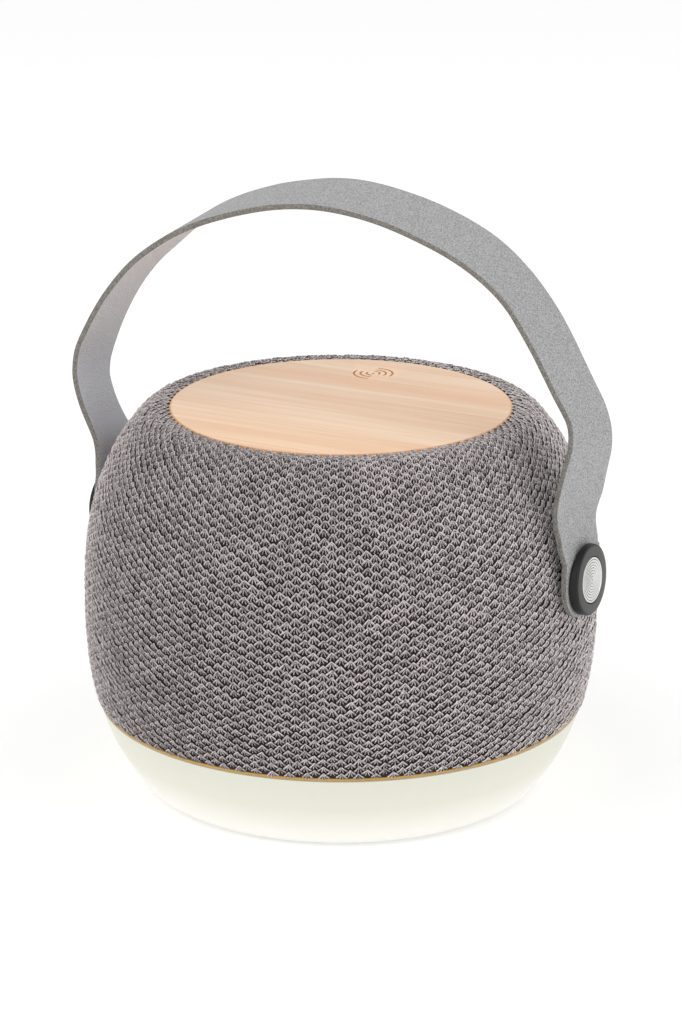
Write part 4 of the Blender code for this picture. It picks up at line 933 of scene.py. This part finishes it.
strapMaterial, tree, shader, place = newMaterial("greyLeather", Roughness=0.6, Sheen_Weight=0.05,
                                                 Specular_IOR_Level=0.35)
pebble = useGroup(tree, leatherGroup, place, {"Pebble Scale": 2300.0, "Crease Scale": 420.0})
depthMark = addNode(tree, "ShaderNodeAttribute", attribute_name="strapDepth")
edgeMark = addNode(tree, "ShaderNodeAttribute", attribute_name="strapEdge")
# painted shade over the leather's own grain: darker in the valleys between pebbles and in the
# creases
tone = ranged(tree, pebble.outputs["Pebble"], 0.30, 0.80)
faceColour = mixColour(tree, tone, strap["faceValleyShade"], strap["face"])
creaseShade = ranged(tree, pebble.outputs["Crease"], 0.42, 0.62, 0.0, strap["creaseShadeShare"])
faceColour = mixColour(tree, creaseShade, faceColour, strap["creaseShade"])
underside = mathNode(tree, "GREATER_THAN", depthMark.outputs["Fac"], 0.95)
colour = mixColour(tree, underside, faceColour, strap["lining"])
fuzz = noiseAt(tree, place, {"Scale": 2600.0, "Detail": 4.0, "Roughness": 0.7})
edgeColour = mixColour(tree, ranged(tree, fuzz, 0.35, 0.65), strap["edgeDark"], strap["edgeLight"])
colour = mixColour(tree, edgeMark.outputs["Fac"], colour, edgeColour)
tree.links.new(colour, shader.inputs["Base Color"])
addBump(tree, shader, pebble.outputs["Height"], 0.00022)
carryStrap = makeStrap(strapMaterial)
cutWith(carryStrap, [hubRod("strapHole", strap["hole"], cutter["strapNear"], side)
                     for side in (1, -1)])
smooth(carryStrap.data, 50)
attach(carryStrap, "handle")
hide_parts("handle_strap")
print("strap cut and bent")

# hub rings and caps
hub = {
    "ring": 8.85, "back": 67.2, "front": 70.0, "chamfer": 0.7, "bore": 1.6, "seat": 3.4,
    "cap": 5.65, "capFront": 70.1, "tilt": 3.0, "grooves": 7, "grooveDepth": 0.09,
    "ringDark": (0.010, 0.010, 0.010), "ringFace": (0.21, 0.21, 0.20),
    "ringFaceDark": (0.17, 0.17, 0.16), "silver": (0.80, 0.80, 0.78),
    "silverDark": (0.66, 0.66, 0.645), "grooveShade": (0.13, 0.13, 0.125),
}


def alongHub(tree, place):
    # how far out along the hub's axis and away from it in mm, and how far above it in metres
    parts = addNode(tree, "ShaderNodeSeparateXYZ")
    tree.links.new(place, parts.inputs[0])
    up = mathNode(tree, "SUBTRACT", parts.outputs[2], body["hubHeight"] * mm)
    out = mathNode(tree, "MULTIPLY", mathNode(tree, "ABSOLUTE", parts.outputs[0]), 1000.0)
    return out, distanceOf(tree, up, parts.outputs[1]), up


ringMaterial, tree, shader, place = newMaterial("ringPlastic", Roughness=0.42,
                                                Specular_IOR_Level=0.3)
grain = useGroup(tree, grainGroup, place, {"Coarse": 900.0, "Fine": 5000.0})
out, _, up = alongHub(tree, place)
slant = mathNode(tree, "MULTIPLY", up, 1000 * math.tan(math.radians(hub["tilt"])))
flat = ranged(tree, mathNode(tree, "ADD", out, slant), hub["front"] - 0.55, hub["front"] - 0.2)
faceTone = mixColour(tree, grain.outputs["Mask"], hub["ringFaceDark"], hub["ringFace"])
tree.links.new(mixColour(tree, flat, hub["ringDark"], faceTone), shader.inputs["Base Color"])
addBump(tree, shader, grain.outputs["Height"], 0.000012)

capMaterial, tree, shader, place = newMaterial("spunSilver", Roughness=0.32, Metallic=0.85)
grain = useGroup(tree, grainGroup, place, {"Coarse": 1200.0, "Fine": 6000.0})
far = alongHub(tree, place)[1]
pitch = (hub["cap"] - 0.9) / hub["grooves"]
# painted shade: dark rings on the silver where the turned grooves lie
phase = mathNode(tree, "DIVIDE", mathNode(tree, "SUBTRACT", far, 0.28), pitch)
phase = mathNode(tree, "SUBTRACT", mathNode(tree, "FRACT", phase), 0.5)
line = ranged(tree, mathNode(tree, "ABSOLUTE", phase), 0.34, 0.42)
inside = mathNode(tree, "LESS_THAN", far, hub["cap"] - 0.45)
grooveShadeMask = mathNode(tree, "MULTIPLY", line, inside)
silver = mixColour(tree, grain.outputs["Mask"], hub["silverDark"], hub["silver"])
tree.links.new(mixColour(tree, grooveShadeMask, silver, hub["grooveShade"]), shader.inputs["Base Color"])
addBump(tree, shader, grain.outputs["Height"], 0.000006)

for label, side in (("Right", 1), ("Left", -1)):
    node = label.lower()
    ring = turned("hubRing" + label, [
        (hub["cap"] + 0.2, hub["front"] - 0.12), (hub["cap"] + 0.35, hub["front"]),
        (hub["ring"] - hub["chamfer"], hub["front"]), (hub["ring"] - 0.28, hub["front"] - 0.18),
        (hub["ring"] - 0.06, hub["front"] - 0.42), (hub["ring"], hub["front"] - hub["chamfer"]),
        (hub["ring"], hub["back"] + 0.25), (hub["ring"] - 0.25, hub["back"]),
        (hub["bore"], hub["back"]), (hub["bore"], hub["back"] + 0.7),
        (hub["seat"], hub["back"] + 0.7), (hub["seat"], hub["front"] - 1.1),
        (hub["cap"] + 0.2, hub["front"] - 1.1)],
        steps=96, paint=ringMaterial, turn=alongX(side), angle=30)
    face = hub["capFront"] - 0.12
    profile = [(0, face), (0.35, face), (0.45, face - hub["grooveDepth"])]
    for groove in range(hub["grooves"]):
        r = 0.62 + groove * pitch
        profile += [(r, face), (r + pitch * 0.5, face),
                    (r + pitch * 0.72, face - hub["grooveDepth"])]
    profile += [(hub["cap"] - 0.3, face + 0.1), (hub["cap"] - 0.08, face + 0.08),
                (hub["cap"], face - 0.05), (hub["cap"], hub["capFront"] - 1.0),
                (0, hub["capFront"] - 1.0)]
    cap = turned("hubCap" + label, profile, steps=96, closed=False, paint=capMaterial,
                 turn=alongX(side), angle=25)
    # the front is cut on a slight slant, so that it looks upwards
    for piece in (ring, cap):
        for vertex in piece.data.vertices:
            x, z = abs(vertex.co.x) / mm, vertex.co.z / mm - body["hubHeight"]
            share = max(0.0, (x - hub["back"] - 1.0) / (hub["front"] - hub["back"] - 1.0))
            lean = math.tan(math.radians(hub["tilt"])) * (z + hub["ring"])
            vertex.co.x -= side * min(1.0, share) * lean * mm
    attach(ring, "body")
    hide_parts("hub_ring_" + node)
    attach(cap, "body")
    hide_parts("hub_cap_" + node)
print("hubs turned")

# the rear panel and its printed symbols
rear = {
    "raise": 0.12, "sink": 0.15, "stroke": 0.5, "size": 1.7, "height": 55.4,
    "places": {"light": -20.0, "minus": -10.0, "play": 0.0, "plus": 10.0, "power": 20.0},
}
repaint(frame["nodes"]["control_panel"], panelPlastic)
for label in rear["places"]:
    repaint(frame["nodes"]["button_" + label], buttonPlastic)
printInk = grainy("symbolInk", (0.60, 0.60, 0.59), (0.74, 0.74, 0.73), 0.5, 900.0, bump=0.0)


def bar(x0, z0, x1, z1, wide):
    # a straight stroke with its corners
    dx, dz = x1 - x0, z1 - z0
    length = math.hypot(dx, dz)
    nx, nz = -dz / length * wide / 2, dx / length * wide / 2
    return [(x0 + nx, z0 + nz), (x0 - nx, z0 - nz), (x1 - nx, z1 - nz), (x1 + nx, z1 + nz)]


def symbolShapes(label):
    # flat outlines in mm about the button's middle
    size, wide = rear["size"], rear["stroke"]
    if label == "minus":
        return [bar(-size, 0, size, 0, wide)]
    if label == "plus":
        return [bar(-size, 0, size, 0, wide), bar(0, wide / 2 + 0.02, 0, size, wide),
                bar(0, -size, 0, -wide / 2 - 0.02, wide)]
    if label == "play":
        return [[(-0.95, -1.35), (1.35, 0), (-0.95, 1.35)]]
    if label == "power":
        return [arcBand(1.35, wide, 125, 415, 24), bar(0, 0.3, 0, 1.8, wide)]
    rays = []
    for a in np.linspace(0, 2 * math.pi, 8, endpoint=False):
        c, s = math.cos(a), math.sin(a)
        rays.append(bar(1.35 * c, 1.35 * s, 1.95 * c, 1.95 * s, 0.36))
    return [arcBand(0.70, wide, 0, 356, 24)] + rays


for label, centreX in rear["places"].items():
    low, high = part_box("button_" + label)
    shape = bmesh.new()
    for outline in symbolShapes(label):
        # seen from behind, so the figure is turned about Z
        loops = [[shape.verts.new(((centreX - x) * mm, high.y + depth * mm,
                                   (rear["height"] + z) * mm)) for x, z in outline]
                 for depth in (-rear["sink"], rear["raise"])]
        betweenLoops(shape, *loops)
    symbol = finished(shape, "symbol" + label.capitalize(), printInk)
    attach(symbol, "button_" + label)
print("rear symbols printed")

# floor, light and camera
studio = {
    "floorSize": 6.0, "floorTone": (0.90, 0.90, 0.90), "floorGlow": 0.20, "air": 0.80,
    # name, place, what it is aimed at, width and height, power
    "boxes": [("topBox", (0.1, -0.1, 1.2), (0, 0, 0.05), (1.2, 1.2), 2.3),
              ("keyBox", (-0.5, -1.0, 0.7), (0, 0, 0.06), (0.8, 0.8), 2.3),
              ("sideBox", (1.1, -0.2, 0.5), (0, 0, 0.06), (0.7, 0.9), 1.6)],
}
floorMesh = bpy.data.meshes.new("paleFloor")
shape = bmesh.new()
bmesh.ops.create_grid(shape, x_segments=1, y_segments=1, size=studio["floorSize"])
shape.to_mesh(floorMesh)
shape.free()
floorMaterial = newMaterial("paleFloor", Roughness=0.9, Base_Color=studio["floorTone"],
                            Emission_Color=(1.0, 1.0, 1.0),
                            Emission_Strength=studio["floorGlow"])[0]
floor = newPiece("paleFloor", floorMesh, floorMaterial)

world = bpy.data.worlds.new("studioAir")
scene.world = world
world.use_nodes = True
background = world.node_tree.nodes["Background"]
background.inputs["Color"].default_value = (1, 1, 1, 1)
background.inputs["Strength"].default_value = studio["air"]


for name, spot, aim, size, power in studio["boxes"]:
    boxLight = bpy.data.lights.new(name, "AREA")
    boxLight.shape = "RECTANGLE"
    boxLight.size, boxLight.size_y = size
    boxLight.energy = power
    obj = bpy.data.objects.new(name, boxLight)
    scene.collection.objects.link(obj)
    obj.location = spot
    obj.rotation_euler = (Vector(aim) - Vector(spot)).to_track_quat("-Z", "Y").to_euler()

camera = {
    "azimuth": 28.0, "elevation": 17.9, "distance": 0.9143, "target": (0, 0, 0.0698),
    "lens": 127.5, "sensor": 36,
}
lensData = bpy.data.cameras.new("studioCamera")
lensData.sensor_width = camera["sensor"]
lensData.lens = camera["lens"]
viewer = bpy.data.objects.new("studioCamera", lensData)
scene.collection.objects.link(viewer)
az, el = math.radians(camera["azimuth"]), math.radians(camera["elevation"])
away = Vector((math.sin(az) * math.cos(el), -math.cos(az) * math.cos(el), math.sin(el)))
viewer.location = Vector(camera["target"]) + camera["distance"] * away
viewer.rotation_euler = (-away).to_track_quat("-Z", "Y").to_euler()
lensData.clip_start = 0.01
scene.camera = viewer
scene.view_settings.view_transform = "Standard"
print("studio set")
